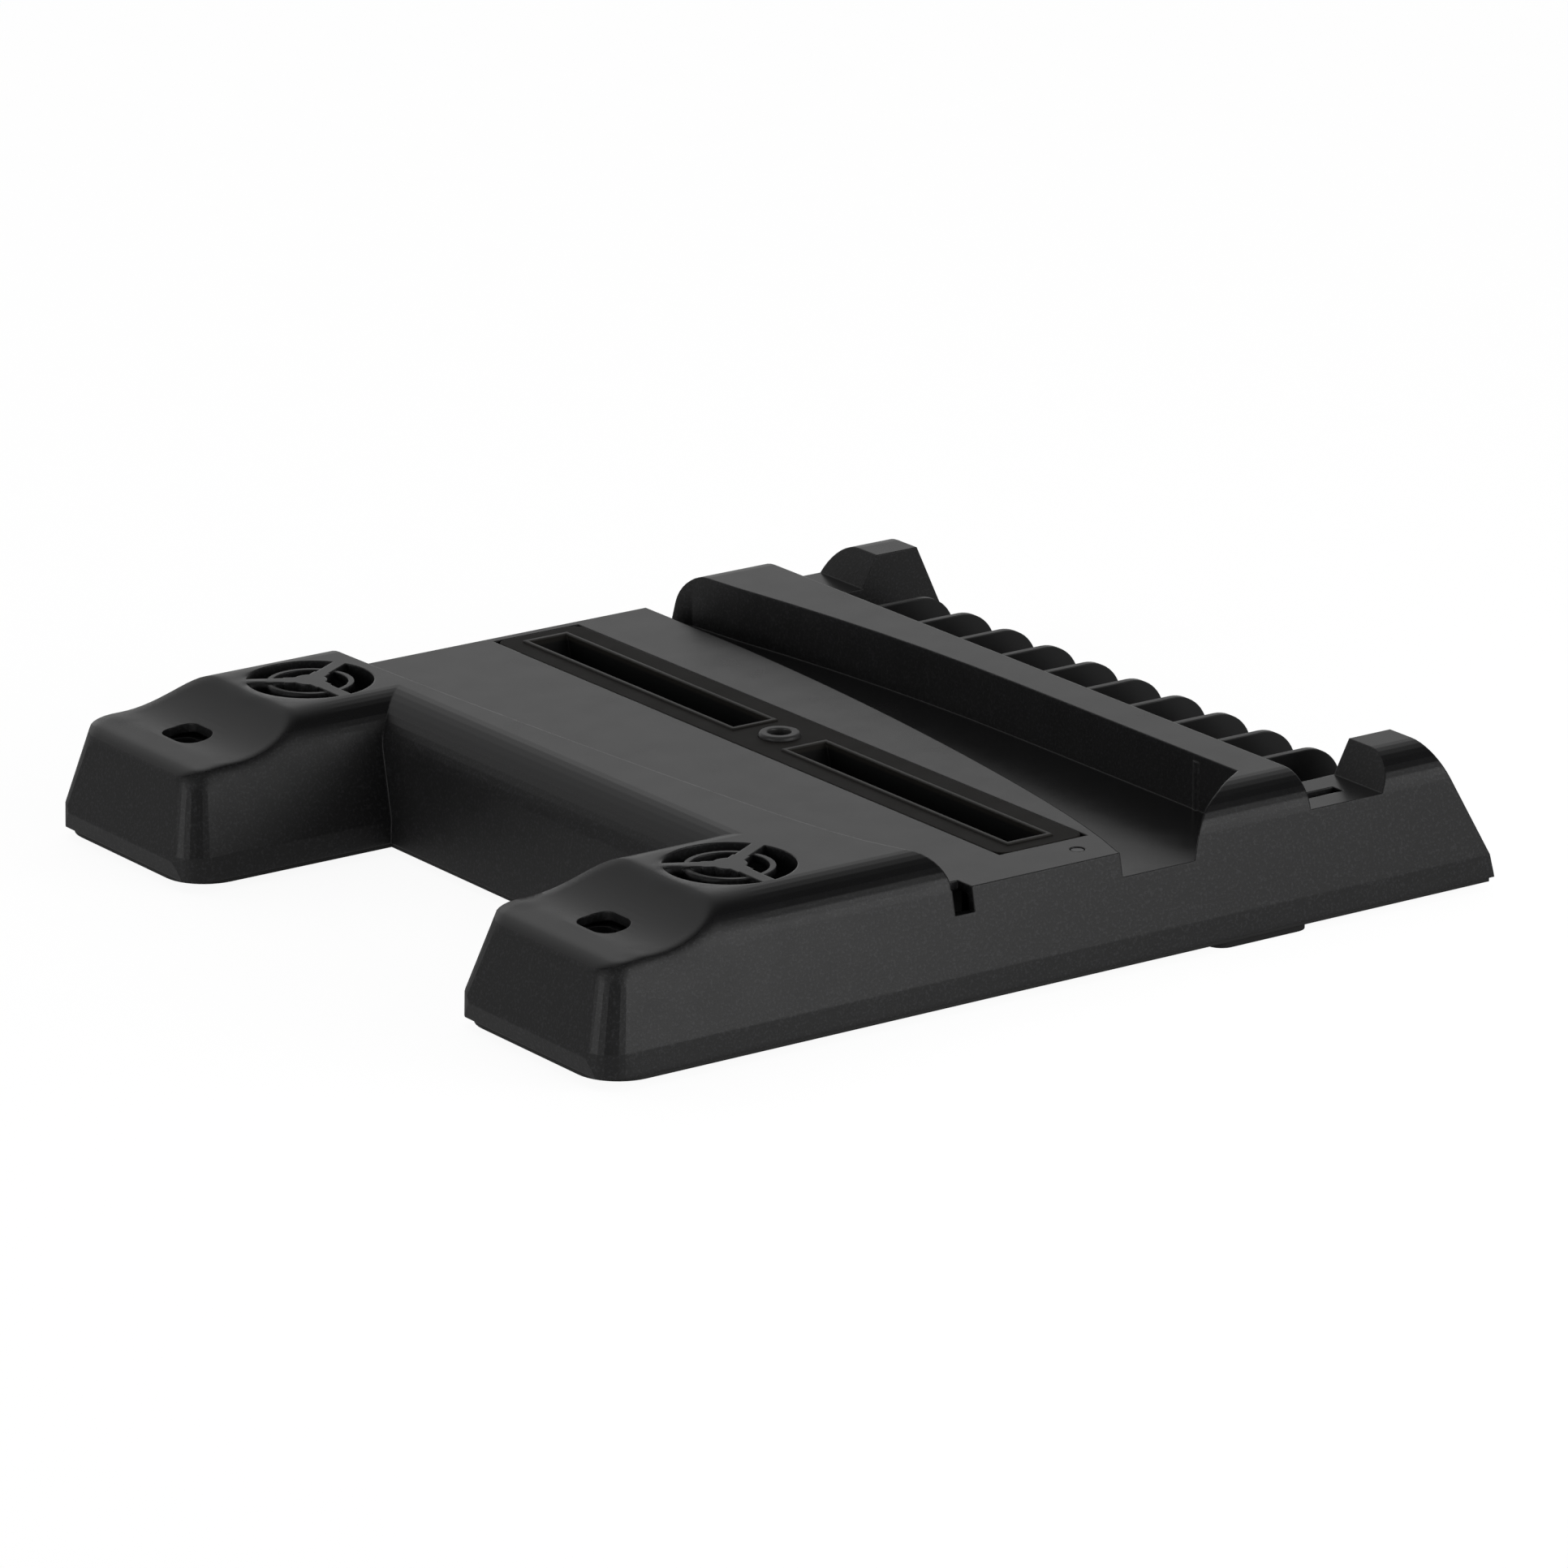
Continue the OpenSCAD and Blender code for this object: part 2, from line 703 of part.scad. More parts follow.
// Comb of fins on a floor, screwed down between the posts.
module case_rack() {
    pitch = 2 * rack_half / (fins + 1);
    floor_z = rack_floor_z - 3 + rest_gap;
    tip_x = back_x - 12.95;
    color([0.085, 0.085, 0.09])
        difference() {
            union() {
                translate([wall_back_x + fit_gap, -rack_half + fit_gap, floor_z])
                    cube([tip_x - wall_back_x - fit_gap, 2 * rack_half - 2 * fit_gap, rack_floor_z - floor_z]);
                for (i = [1:fins])
                    along_y(-rack_half + i * pitch - fin_t / 2, -rack_half + i * pitch + fin_t / 2)
                        fin_profile();
            }
            for (p = rack_screw_spots)
                translate([p[0], p[1], floor_z - 1])
                    cylinder(r = 1.1, h = 3.4);
        }
}

// Self-tapping screw with a pan head, head down.
module screw(r, l, head_r, head_h) {
    cylinder(r = head_r, h = head_h);
    translate([0, 0, head_h - eps])
        cylinder(r = r, h = l + eps);
}

module rack_screws() {
    color([0.55, 0.55, 0.57])
        for (p = rack_screw_spots)
            translate([p[0], p[1], rack_floor_z - 3 - wall_t - 1.5])
                screw(1.1, wall_t + 1.6, 2.4, 1.5);
}

module housing_screws() {
    color([0.55, 0.55, 0.57])
        both_sides()
            for (p = boss_spots)
                translate([p[0], p[1], base_z + 0.1])
                    screw(1.15, 8, 2.7, 1.3);
}

module fan_screws() {
    color([0.55, 0.55, 0.57])
        both_sides()
            for (p = fan_corners)
                translate([fan_x + p[0], fan_y + p[1], fan_z - 1.2])
                    screw(1, fan_t + 4, 1.9, 1.2);
}

fan_bore = fan_side / 2 - 1;
hub_r = 10.5;

// Square fan housing with its motor base on three struts.
module fan_frame() {
    color([0.07, 0.07, 0.075])
        difference() {
            union() {
                difference() {
                    translate([-fan_side / 2, -fan_side / 2, 0])
                        cube([fan_side, fan_side, fan_t]);
                    translate([0, 0, -1])
                        cylinder(r = fan_bore, h = fan_t + 2);
                }
                cylinder(r = hub_r, h = 1.6);
                for (a = [0:120:240])
                    rotate([0, 0, a + 20])
                        translate([0, -1.2, 0])
                            cube([fan_bore + 0.5, 2.4, 1.6]);
                cylinder(r = 3, h = 5);
            }
            translate([0, 0, 1])
                cylinder(r = 1 + 0.3, h = 10);
            for (p = [[-1, 1], [1, -1], [1, 1], [-1, -1]])
                translate([p[0] * fan_screw_at, p[1] * fan_screw_at, -1])
                    cylinder(r = 1.5, h = fan_t + 2);
        }
}

module far_fan_frame() {
    translate([fan_x, fan_y, fan_z])
        fan_frame();
}

module near_fan_frame() {
    translate([fan_x, -fan_y, fan_z])
        fan_frame();
}

// Cupped hub with seven blades and a short shaft.
module impeller() {
    blades = 7;
    color([0.1, 0.1, 0.105])
        union() {
            translate([0, 0, fan_t - 2])
                cylinder(r = hub_r, h = 1.4);
            translate([0, 0, 2.4])
                tube(hub_r, hub_r - 1.2, fan_t - 4);
            translate([0, 0, 1.6])
                cylinder(r = 1, h = fan_t - 2.6);
            for (i = [0:blades - 1])
                rotate([0, 0, i * 360 / blades])
                    translate([hub_r - 0.5, 0, 5.6])
                        rotate([38, 0, 0])
                            translate([0, -4, -0.5])
                                cube([fan_bore - hub_r - 0.6, 8, 1]);
        }
}

module far_impeller() {
    translate([fan_x, fan_y, fan_z])
        impeller();
}

module near_impeller() {
    translate([fan_x, -fan_y, fan_z])
        impeller();
}

// Ribbed oval guide below a dock hole.
sleeve_h = 9;
module dock_sleeve() {
    top = pad_z - wall_t - 0.6;
    color([0.14, 0.14, 0.145])
        translate([0, 0, top - sleeve_h])
            difference() {
                rounded_block(dock_w + 3, dock_l + 3, dock_r + 1.5, sleeve_h);
                difference() {
                    translate([0, 0, -1])
                        rounded_block(dock_w, dock_l, dock_r, sleeve_h + 2);
                    for (s = [-1, 1])
                        for (y = [-3.4, 0, 3.4])
                            translate([s * (dock_w / 2 + 0.3), y, -2])
                                cylinder(r = 1.1, h = sleeve_h + 4, $fn = 24);
                }
            }
}

module far_dock_sleeve() {
    translate([dock_x, dock_y, 0])
        dock_sleeve();
}

module near_dock_sleeve() {
    translate([dock_x, -dock_y, 0])
        dock_sleeve();
}

// Charging plug that stands on the dock board.
module dock_plug() {
    z0 = dock_board_z + 1.6;
    color([0.6, 0.6, 0.62])
        translate([0, 0, z0]) {
            translate([-3, -5.5, 0])
                cube([6, 11, 5.5]);
            translate([-1.3, -4.4, 5.5 - eps])
                cube([2.6, 8.8, 5.6]);
        }
}

module far_dock_plug() {
    translate([dock_x, dock_y, 0])
        dock_plug();
}

module near_dock_plug() {
    translate([dock_x, -dock_y, 0])
        dock_plug();
}

module dock_board() {
    color([0.06, 0.22, 0.12])
        difference() {
            translate([-13, -13, dock_board_z])
                cube([26, 26, 1.6]);
            for (p = dock_posts)
                translate([p[0], p[1], dock_board_z - 1])
                    cylinder(r = 1.1, h = 4);
        }
}

module far_dock_board() {
    translate([dock_x, dock_y, 0])
        dock_board();
}

module near_dock_board() {
    translate([dock_x, -dock_y, 0])
        dock_board();
}

module main_board() {
    color([0.06, 0.22, 0.12])
        difference() {
            union() {
                translate([board_x, board_y, board_z])
                    cube([board_l, board_w, 1.6]);
                translate([board_x + 24, board_y + 6, board_z + 1.5])
                    cube([9, 9, 1.6]);
                translate([board_x + 8, board_y + 8, board_z + 1.5])
                    cube([7, 5, 3]);
            }
            for (p = board_screws)
                translate([p[0], p[1], board_z - 1])
                    cylinder(r = 1.1, h = 4);
        }
}

// Power inlet, a flat metal shell with an oval mouth.
module power_inlet() {
    d = 7.5;
    color([0.6, 0.6, 0.62])
        translate([inlet_x, half_w - 2.6 - d, inlet_z])
            difference() {
                translate([-4.5, 0, -1.6])
                    cube([9, d, 3.2]);
                translate([-3.9, 1.5, -1])
                    cube([7.8, d, 2]);
            }
}

module switch_body() {
    color([0.12, 0.12, 0.125])
        translate([button_x - 4, half_w - 13.6, board_z + 1.6])
            cube([8, 5, 5]);
}

// Push button for the fans on the far side.
module fan_button() {
    flange_y = side_y(button_z + 3, wall_t) - fit_gap;
    color([0.13, 0.13, 0.135])
        union() {
            translate([button_x - 5, flange_y - 0.4, button_z - 2])
                cube([10, half_w - 0.4 - flange_y + 0.4, 4]);
            translate([button_x - 6, flange_y - 1.2, button_z - 3])
                cube([12, 1.2, 6]);
            translate([button_x - 1.6, flange_y - 2.4, button_z - 1.4])
                cube([3.2, 1.4, 2.8]);
        }
}

// Light guide of the charge indicator.
module status_lens() {
    color([0.75, 0.78, 0.8])
        translate([lens_x, lens_y, 0]) {
            translate([0, 0, seat_z - 7])
                cylinder(r = lens_r, h = 6.8);
            translate([0, 0, seat_z - wall_t - 1.3])
                cylinder(r = lens_r + 1.2, h = 1.2);
        }
}

module rubber_feet() {
    color([0.05, 0.05, 0.05])
        both_sides()
            for (p = feet_spots)
                translate([p[0], p[1], 0])
                    rounded_block(foot_l, foot_w, foot_r, base_z + 1);
}

top_housing();
base_plate();
vent_strip();
screw_collar();
case_rack();
rack_screws();
far_fan_frame();
near_fan_frame();
far_impeller();
near_impeller();
fan_screws();
far_dock_sleeve();
near_dock_sleeve();
far_dock_plug();
near_dock_plug();
far_dock_board();
near_dock_board();
main_board();
power_inlet();
switch_body();
fan_button();
status_lens();
rubber_feet();
housing_screws();
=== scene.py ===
import math
import bmesh
import bpy
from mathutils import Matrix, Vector


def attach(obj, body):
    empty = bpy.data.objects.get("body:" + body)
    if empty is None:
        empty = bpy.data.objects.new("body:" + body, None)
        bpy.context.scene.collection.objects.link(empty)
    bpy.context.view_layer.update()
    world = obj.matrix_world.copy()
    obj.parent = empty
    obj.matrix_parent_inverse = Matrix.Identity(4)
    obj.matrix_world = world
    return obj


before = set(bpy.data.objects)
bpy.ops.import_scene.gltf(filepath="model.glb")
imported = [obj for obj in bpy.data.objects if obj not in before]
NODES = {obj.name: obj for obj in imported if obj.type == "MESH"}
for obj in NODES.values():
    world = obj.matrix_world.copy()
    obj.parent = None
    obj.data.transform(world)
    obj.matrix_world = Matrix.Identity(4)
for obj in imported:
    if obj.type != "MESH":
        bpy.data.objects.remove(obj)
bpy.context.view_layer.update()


# Camera. A long lens about two and a half metres away, looking down about eighteen degrees over the
# near arm. Its place was solved from the straight edges and the round grilles in the photograph.
LENS_MM, SENSOR_MM = 223.37, 36.0
NEAREST, FARTHEST = 0.1, 50.0
EYE = (-1.464364, -2.061638, 0.824634)
LOOK_DOWN = 17.61
TURN = -35.50
camera_data = bpy.data.cameras.new("camera")
camera_data.sensor_width = SENSOR_MM
camera_data.lens = LENS_MM
camera_data.clip_start = NEAREST
camera_data.clip_end = FARTHEST
camera_data.dof.use_dof = False
camera = bpy.data.objects.new("camera", camera_data)
camera.location = EYE
camera.rotation_euler = (math.radians(90.0 - LOOK_DOWN), 0.0, math.radians(TURN))
bpy.context.scene.collection.objects.link(camera)
bpy.context.scene.camera = camera
bpy.context.scene.view_settings.view_transform = "Standard"


# Studio. The camera sees white paper all round. The object sees a grey room: a broad pale wall on the
# far side, a dark ceiling toward the right, a bright strip at the left and a softbox at the near side.
def put(tree, kind, **settings):
    """A new shader node."""
    node = tree.nodes.new(kind)
    for key, value in settings.items():
        setattr(node, key, value)
    return node


def feed(tree, socket, item):
    """Set a socket to a plain value, or link another socket into it."""
    if isinstance(item, (int, float, tuple, Vector)):
        socket.default_value = item
    elif item is not None:
        tree.links.new(item, socket)


def calc(tree, operation, a, b=None, c=None):
    """The result of a math node."""
    node = put(tree, "ShaderNodeMath", operation=operation)
    for socket, item in zip(node.inputs, (a, b, c)):
        feed(tree, socket, item)
    return node.outputs[0]


def ramp(tree, value, low, high, out_low=0.0, out_high=1.0):
    """A smooth step from out_low at low to out_high at high."""
    node = put(tree, "ShaderNodeMapRange", interpolation_type="SMOOTHSTEP")
    for label, item in (("Value", value), ("From Min", low), ("From Max", high),
                        ("To Min", out_low), ("To Max", out_high)):
        feed(tree, node.inputs[label], item)
    return node.outputs["Result"]


def compass(turn, rise):
    """Direction from a turn in degrees, from +X toward +Y, and a rise above the floor."""
    turn, rise = math.radians(turn), math.radians(rise)
    return Vector((math.cos(turn) * math.cos(rise), math.sin(turn) * math.cos(rise), math.sin(rise)))


world = bpy.data.worlds.new("studio")
bpy.context.scene.world = world
world.use_nodes = True
sky = world.node_tree
sky.nodes.clear()
look = put(sky, "ShaderNodeTexCoord").outputs["Generated"]
sky_z = put(sky, "ShaderNodeSeparateXYZ")
feed(sky, sky_z.inputs[0], look)
WHITE = (1.0, 1.0, 1.0, 1.0)
WALL_GREY, CEILING_GREY, DARKEST = 0.19, 0.05, 0.03
CEILING_FROM, CEILING_TO = 0.15, 0.62
# each patch: turn, rise, full brightness within, gone beyond, brightness
ROOM_PATCHES = ((84, 24, 24, 66, 0.34), (182, 8, 8, 24, 2.1), (-60, 10, 14, 44, 0.42), (131, -2, 6, 27, -0.30))
room_level = ramp(sky, sky_z.outputs["Z"], CEILING_FROM, CEILING_TO, WALL_GREY, CEILING_GREY)
for turn, rise, full, gone, bright in ROOM_PATCHES:
    dot = put(sky, "ShaderNodeVectorMath", operation="DOT_PRODUCT")
    feed(sky, dot.inputs[0], look)
    feed(sky, dot.inputs[1], compass(turn, rise))
    patch = ramp(sky, dot.outputs["Value"], math.cos(math.radians(gone)), math.cos(math.radians(full)))
    room_level = calc(sky, "MULTIPLY_ADD", patch, bright, room_level)
room = put(sky, "ShaderNodeBackground")
feed(sky, room.inputs["Strength"], calc(sky, "MAXIMUM", room_level, DARKEST))
paper = put(sky, "ShaderNodeBackground")
paper.inputs["Color"].default_value = WHITE
room.inputs["Color"].default_value = WHITE
rays = put(sky, "ShaderNodeLightPath")
either = put(sky, "ShaderNodeMixShader")
feed(sky, either.inputs[0], rays.outputs["Is Camera Ray"])
feed(sky, either.inputs[1], room.outputs[0])
feed(sky, either.inputs[2], paper.outputs[0])
feed(sky, put(sky, "ShaderNodeOutputWorld").inputs["Surface"], either.outputs[0])


def softbox(name, at, aim, width, depth, power):
    """A rectangular lamp aimed at a point and hidden from the camera."""
    data = bpy.data.lights.new(name, "AREA")
    data.shape = "RECTANGLE"
    data.size = width
    data.size_y = depth
    data.energy = power
    light = bpy.data.objects.new(name, data)
    light.location = at
    light.rotation_euler = (Vector(aim) - Vector(at)).to_track_quat("-Z", "Y").to_euler()
    light.visible_camera = False
    bpy.context.scene.collection.objects.link(light)


softbox("near_softbox", at=(0.02, -0.47, 0.06), aim=(-0.04, -0.10, 0.03), width=0.22, depth=0.12, power=0.15)
softbox("raised_softbox", at=(0.26, -0.47, 0.18), aim=(0.0, 0.06, 0.02), width=0.34, depth=0.12, power=0.32)
softbox("overhead_softbox", at=(-0.5, -0.4, 1.8), aim=(0.0, 0.0, 0.0), width=0.9, depth=0.6, power=1.0)

# White floor that keeps a faint shadow. Seen from below it is clear, so the feet and screws show.
FLOOR_HALF = 2.2
FLOOR_DARK, FLOOR_LIGHT = (0.30, 0.30, 0.30, 1.0), (0.32, 0.32, 0.32, 1.0)
FLOOR_FIBRE = 180.0
FLOOR_GLOW, PAPER_GLOW = 0.26, 0.66
floor_mesh = bpy.data.meshes.new("floor")
floor_mesh.from_pydata([(-FLOOR_HALF, -FLOOR_HALF, 0), (FLOOR_HALF, -FLOOR_HALF, 0), (FLOOR_HALF, FLOOR_HALF, 0),
                        (-FLOOR_HALF, FLOOR_HALF, 0)], [], [(0, 1, 2, 3)])
floor = bpy.data.objects.new("floor", floor_mesh)
bpy.context.scene.collection.objects.link(floor)
floor_look = bpy.data.materials.new("white_floor")
floor_look.use_nodes = True
floor_tree = floor_look.node_tree
floor_tree.nodes.clear()
floor_rays = put(floor_tree, "ShaderNodeLightPath")
floor_back = put(floor_tree, "ShaderNodeNewGeometry").outputs["Backfacing"]
floor_paint = put(floor_tree, "ShaderNodeBsdfDiffuse")
floor_fibre = put(floor_tree, "ShaderNodeTexNoise")
floor_fibre.inputs["Scale"].default_value = FLOOR_FIBRE
floor_tone = put(floor_tree, "ShaderNodeMix", data_type="RGBA")
floor_tone.inputs[6].default_value = FLOOR_DARK
floor_tone.inputs[7].default_value = FLOOR_LIGHT
feed(floor_tree, floor_tone.inputs[0], floor_fibre.outputs["Fac"])
feed(floor_tree, floor_paint.inputs["Color"], floor_tone.outputs[2])
floor_glow = put(floor_tree, "ShaderNodeEmission")
floor_level = calc(floor_tree, "MULTIPLY_ADD", floor_rays.outputs["Is Camera Ray"], PAPER_GLOW, FLOOR_GLOW)
feed(floor_tree, floor_glow.inputs["Strength"], floor_level)
floor_sum = put(floor_tree, "ShaderNodeAddShader")
feed(floor_tree, floor_sum.inputs[0], floor_paint.outputs[0])
feed(floor_tree, floor_sum.inputs[1], floor_glow.outputs[0])
floor_clear = put(floor_tree, "ShaderNodeBsdfTransparent")
floor_mix = put(floor_tree, "ShaderNodeMixShader")
feed(floor_tree, floor_mix.inputs[0], floor_back)
feed(floor_tree, floor_mix.inputs[1], floor_sum.outputs[0])
feed(floor_tree, floor_mix.inputs[2], floor_clear.outputs[0])
feed(floor_tree, put(floor_tree, "ShaderNodeOutputMaterial").inputs["Surface"], floor_mix.outputs[0])
floor_mesh.materials.append(floor_look)


# Top moulding. One piece of black ABS with the arms, the fan blocks and their grilles, the console
# seat, the tall wall and the end posts. Steep walls are spark-eroded, level faces satin from the tool.
def new_group(name, inputs, outputs):
    """An empty node group, with the sockets that its inside reads from and writes to."""
    tree = bpy.data.node_groups.new(name, "ShaderNodeTree")
    kinds = {"value": "NodeSocketFloat", "colour": "NodeSocketColor", "vector": "NodeSocketVector"}
    for label, kind, value in inputs:
        tree.interface.new_socket(label, in_out="INPUT", socket_type=kinds[kind]).default_value = value
    for label, kind in outputs:
        tree.interface.new_socket(label, in_out="OUTPUT", socket_type=kinds[kind])
    return tree, put(tree, "NodeGroupInput").outputs, put(tree, "NodeGroupOutput").inputs


def noise(tree, vector, scale, detail=2.0, rough=0.5):
    """A noise texture, as a value."""
    node = put(tree, "ShaderNodeTexNoise")
    for label, item in (("Vector", vector), ("Scale", scale), ("Detail", detail), ("Roughness", rough)):
        feed(tree, node.inputs[label], item)
    return node.outputs["Fac"]


def blend(tree, factor, a, b):
    """The colour a, turning into b as the factor rises."""
    node = put(tree, "ShaderNodeMix", data_type="RGBA")
    for index, item in ((0, factor), (6, a), (7, b)):
        feed(tree, node.inputs[index], item)
    return node.outputs[2]


# mould grain: eroded texture on steep walls, fine satin on level faces
grain, g_in, g_out = new_group("mould grain",
    [("Grain Scale", "value", 2600.0), ("Wall Height", "value", 0.9), ("Level Height", "value", 0.1),
     ("Wall Roughness", "value", 0.5), ("Level Roughness", "value", 0.3), ("Patch Scale", "value", 90.0)],
    [("Height", "value"), ("Roughness", "value"), ("Tone", "value"), ("Speckle", "value")])
g_at = put(grain, "ShaderNodeTexCoord").outputs["Object"]
g_face = put(grain, "ShaderNodeSeparateXYZ")
feed(grain, g_face.inputs[0], put(grain, "ShaderNodeNewGeometry").outputs["Normal"])
LEVEL_AT, STEEP_AT = 0.80, 0.40
SPECK_FROM, SPECK_TO = 0.50, 0.66
PATCH_ROUGHNESS = 0.12
g_wall = ramp(grain, calc(grain, "ABSOLUTE", g_face.outputs["Z"]), LEVEL_AT, STEEP_AT)
g_patch = noise(grain, g_at, g_in["Patch Scale"], 3.0, 0.55)


def by_wall(level, wall):
    """One value on level faces and another on steep walls."""
    return calc(grain, "MULTIPLY_ADD", g_wall, calc(grain, "SUBTRACT", wall, level), level)


g_fine = noise(grain, g_at, g_in["Grain Scale"], 3.0, 0.6)
feed(grain, g_out["Height"], calc(grain, "MULTIPLY", g_fine, by_wall(g_in["Level Height"], g_in["Wall Height"])))
feed(grain, g_out["Speckle"], calc(grain, "MULTIPLY", g_wall, ramp(grain, g_fine, SPECK_FROM, SPECK_TO)))
feed(grain, g_out["Roughness"], calc(grain, "ADD", by_wall(g_in["Level Roughness"], g_in["Wall Roughness"]),
                                     calc(grain, "MULTIPLY_ADD", g_patch, PATCH_ROUGHNESS, -PATCH_ROUGHNESS / 2)))
feed(grain, g_out["Tone"], g_patch)

# worn edges: the true normal against one rounded over the radius, so that only edges answer
EDGE_NONE, EDGE_FULL = 0.985, 0.80
BROKEN_FROM, BROKEN_TO, BROKEN_LEAST = 0.3, 0.7, 0.4
edges, e_in, e_out = new_group("worn edges",
    [("Radius", "value", 0.0006), ("Breakup Scale", "value", 160.0)],
    [("Edge", "value"), ("Rounded Normal", "vector")])
e_bevel = put(edges, "ShaderNodeBevel", samples=12)
feed(edges, e_bevel.inputs["Radius"], e_in["Radius"])
e_dot = put(edges, "ShaderNodeVectorMath", operation="DOT_PRODUCT")
feed(edges, e_dot.inputs[0], e_bevel.outputs[0])
feed(edges, e_dot.inputs[1], put(edges, "ShaderNodeNewGeometry").outputs["Normal"])
e_blotch = noise(edges, put(edges, "ShaderNodeTexCoord").outputs["Object"], e_in["Breakup Scale"], 3.0, 0.6)
e_broken = ramp(edges, e_blotch, BROKEN_FROM, BROKEN_TO, BROKEN_LEAST, 1.0)
e_turned = ramp(edges, e_dot.outputs["Value"], EDGE_NONE, EDGE_FULL)
feed(edges, e_out["Edge"], calc(edges, "MULTIPLY", e_turned, e_broken))
feed(edges, e_out["Rounded Normal"], e_bevel.outputs[0])


def use_group(tree, group, **values):
    """A node group set into a material, its inputs named with underscores for spaces."""
    node = put(tree, "ShaderNodeGroup")
    node.node_tree = group
    for key, value in values.items():
        feed(tree, node.inputs[key.replace("_", " ")], value)
    return node.outputs


def shade(colour, factor):
    """A colour made darker or lighter."""
    return tuple(min(1.0, c * factor) for c in colour[:3]) + (1.0,)


PLASTIC_BUMP = 0.00006
DARK_PATCH, LIGHT_PATCH = 0.75, 1.25


def plastic(name, colour, worn, wall_rough, level_rough, wall_height=0.5, level_height=0.12, grain_scale=2600.0,
            edge_radius=0.0006, edge_socket=None, edge_strength=0.4, edge_polish=0.05, speck=None):
    """Moulded plastic. edge_socket builds a radius that changes over the piece, speck colours the grain."""
    material = bpy.data.materials.new(name)
    material.use_nodes = True
    tree = material.node_tree
    shader = tree.nodes["Principled BSDF"]
    skin = use_group(tree, grain, Grain_Scale=grain_scale, Wall_Height=wall_height, Level_Height=level_height,
                     Wall_Roughness=wall_rough, Level_Roughness=level_rough)
    radius = edge_socket(tree) if edge_socket else edge_radius
    rim = use_group(tree, edges, Radius=radius)
    body = blend(tree, skin["Tone"], shade(colour, DARK_PATCH), shade(colour, LIGHT_PATCH))
    if speck:
        body = blend(tree, skin["Speckle"], body, speck)
    body = blend(tree, calc(tree, "MULTIPLY", rim["Edge"], edge_strength), body, worn)
    relief = put(tree, "ShaderNodeBump")
    relief.inputs["Distance"].default_value = PLASTIC_BUMP
    feed(tree, relief.inputs["Height"], skin["Height"])
    feed(tree, relief.inputs["Normal"], rim["Rounded Normal"])
    feed(tree, shader.inputs["Normal"], relief.outputs["Normal"])
    feed(tree, shader.inputs["Base Color"], body)
    feed(tree, shader.inputs["Roughness"], calc(tree, "MULTIPLY_ADD", rim["Edge"], -edge_polish, skin["Roughness"]))
    return material


def dress(material, *nodes):
    """Paint whole CAD nodes with one material."""
    for node in nodes:
        NODES[node].data.materials.clear()
        NODES[node].data.materials.append(material)


FAN_X, FAN_Y = -0.08265, 0.1002
DOCK_X, DOCK_Y = -0.12245, 0.1005
SOFT_EDGE, NEAT_EDGE, CRISP_EDGE = 0.0055, 0.0007, 0.0005
PAD_FROM, PAD_TO = -0.088, -0.100
RIM_FROM, RIM_TO = 0.0265, 0.0295
FRONT_FROM, FRONT_TO = -0.126, -0.130
PLAIN_LOW, PLAIN_HIGH, PLAIN_FADE = 0.011, 0.0265, 0.002
HOLE_R, HOLE_FADE = 0.0095, 0.004


def housing_edge(tree):
    """Softly rounded edges on the front pads, none on the corners below, crisp ones in the dock holes."""
    at = put(tree, "ShaderNodeSeparateXYZ")
    feed(tree, at.inputs[0], put(tree, "ShaderNodeTexCoord").outputs["Object"])
    on_pad = calc(tree, "MULTIPLY", ramp(tree, at.outputs["X"], PAD_FROM, PAD_TO),
                  ramp(tree, at.outputs["Z"], RIM_FROM, RIM_TO))
    soft = calc(tree, "MULTIPLY_ADD", on_pad, SOFT_EDGE - NEAT_EDGE, NEAT_EDGE)
    plain = calc(tree, "MULTIPLY", ramp(tree, at.outputs["X"], FRONT_FROM, FRONT_TO),
                 calc(tree, "MULTIPLY", ramp(tree, at.outputs["Z"], PLAIN_LOW, PLAIN_LOW + PLAIN_FADE),
                      ramp(tree, at.outputs["Z"], PLAIN_HIGH, PLAIN_HIGH - PLAIN_FADE)))
    soft = calc(tree, "MULTIPLY", soft, calc(tree, "SUBTRACT", 1.0, plain))
    dx = calc(tree, "SUBTRACT", at.outputs["X"], DOCK_X)
    dy = calc(tree, "SUBTRACT", calc(tree, "ABSOLUTE", at.outputs["Y"]), DOCK_Y)
    away = calc(tree, "SQRT", calc(tree, "ADD", calc(tree, "MULTIPLY", dx, dx), calc(tree, "MULTIPLY", dy, dy)))
    return ramp(tree, away, HOLE_R, HOLE_R + HOLE_FADE, CRISP_EDGE, soft)


ABS_BLACK = (0.010, 0.010, 0.0105, 1)
ABS_WORN = (0.026, 0.026, 0.027, 1)
ABS_SPECK = (0.029, 0.029, 0.031, 1)
black_abs = plastic("black_abs", ABS_BLACK, ABS_WORN, wall_rough=0.45, level_rough=0.25, wall_height=0.8,
                    level_height=0.01, grain_scale=1300.0, edge_socket=housing_edge, edge_strength=0.05,
                    edge_polish=0.20, speck=ABS_SPECK)
dress(black_abs, "top_housing")


# Corner walls, part of the top moulding. At the far-facing front corner of each arm the hollow comes
# through the wall of the solid as a slit. A thin curved wall just under the surface closes it.
def add_piece(name, mesh_tree, material, body):
    """A new object from a bmesh, riding on one body and painted from one slot."""
    mesh = bpy.data.meshes.new(name)
    mesh_tree.to_mesh(mesh)
    mesh_tree.free()
    mesh.materials.append(material)
    piece = bpy.data.objects.new(name, mesh)
    bpy.context.scene.collection.objects.link(piece)
    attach(piece, body)


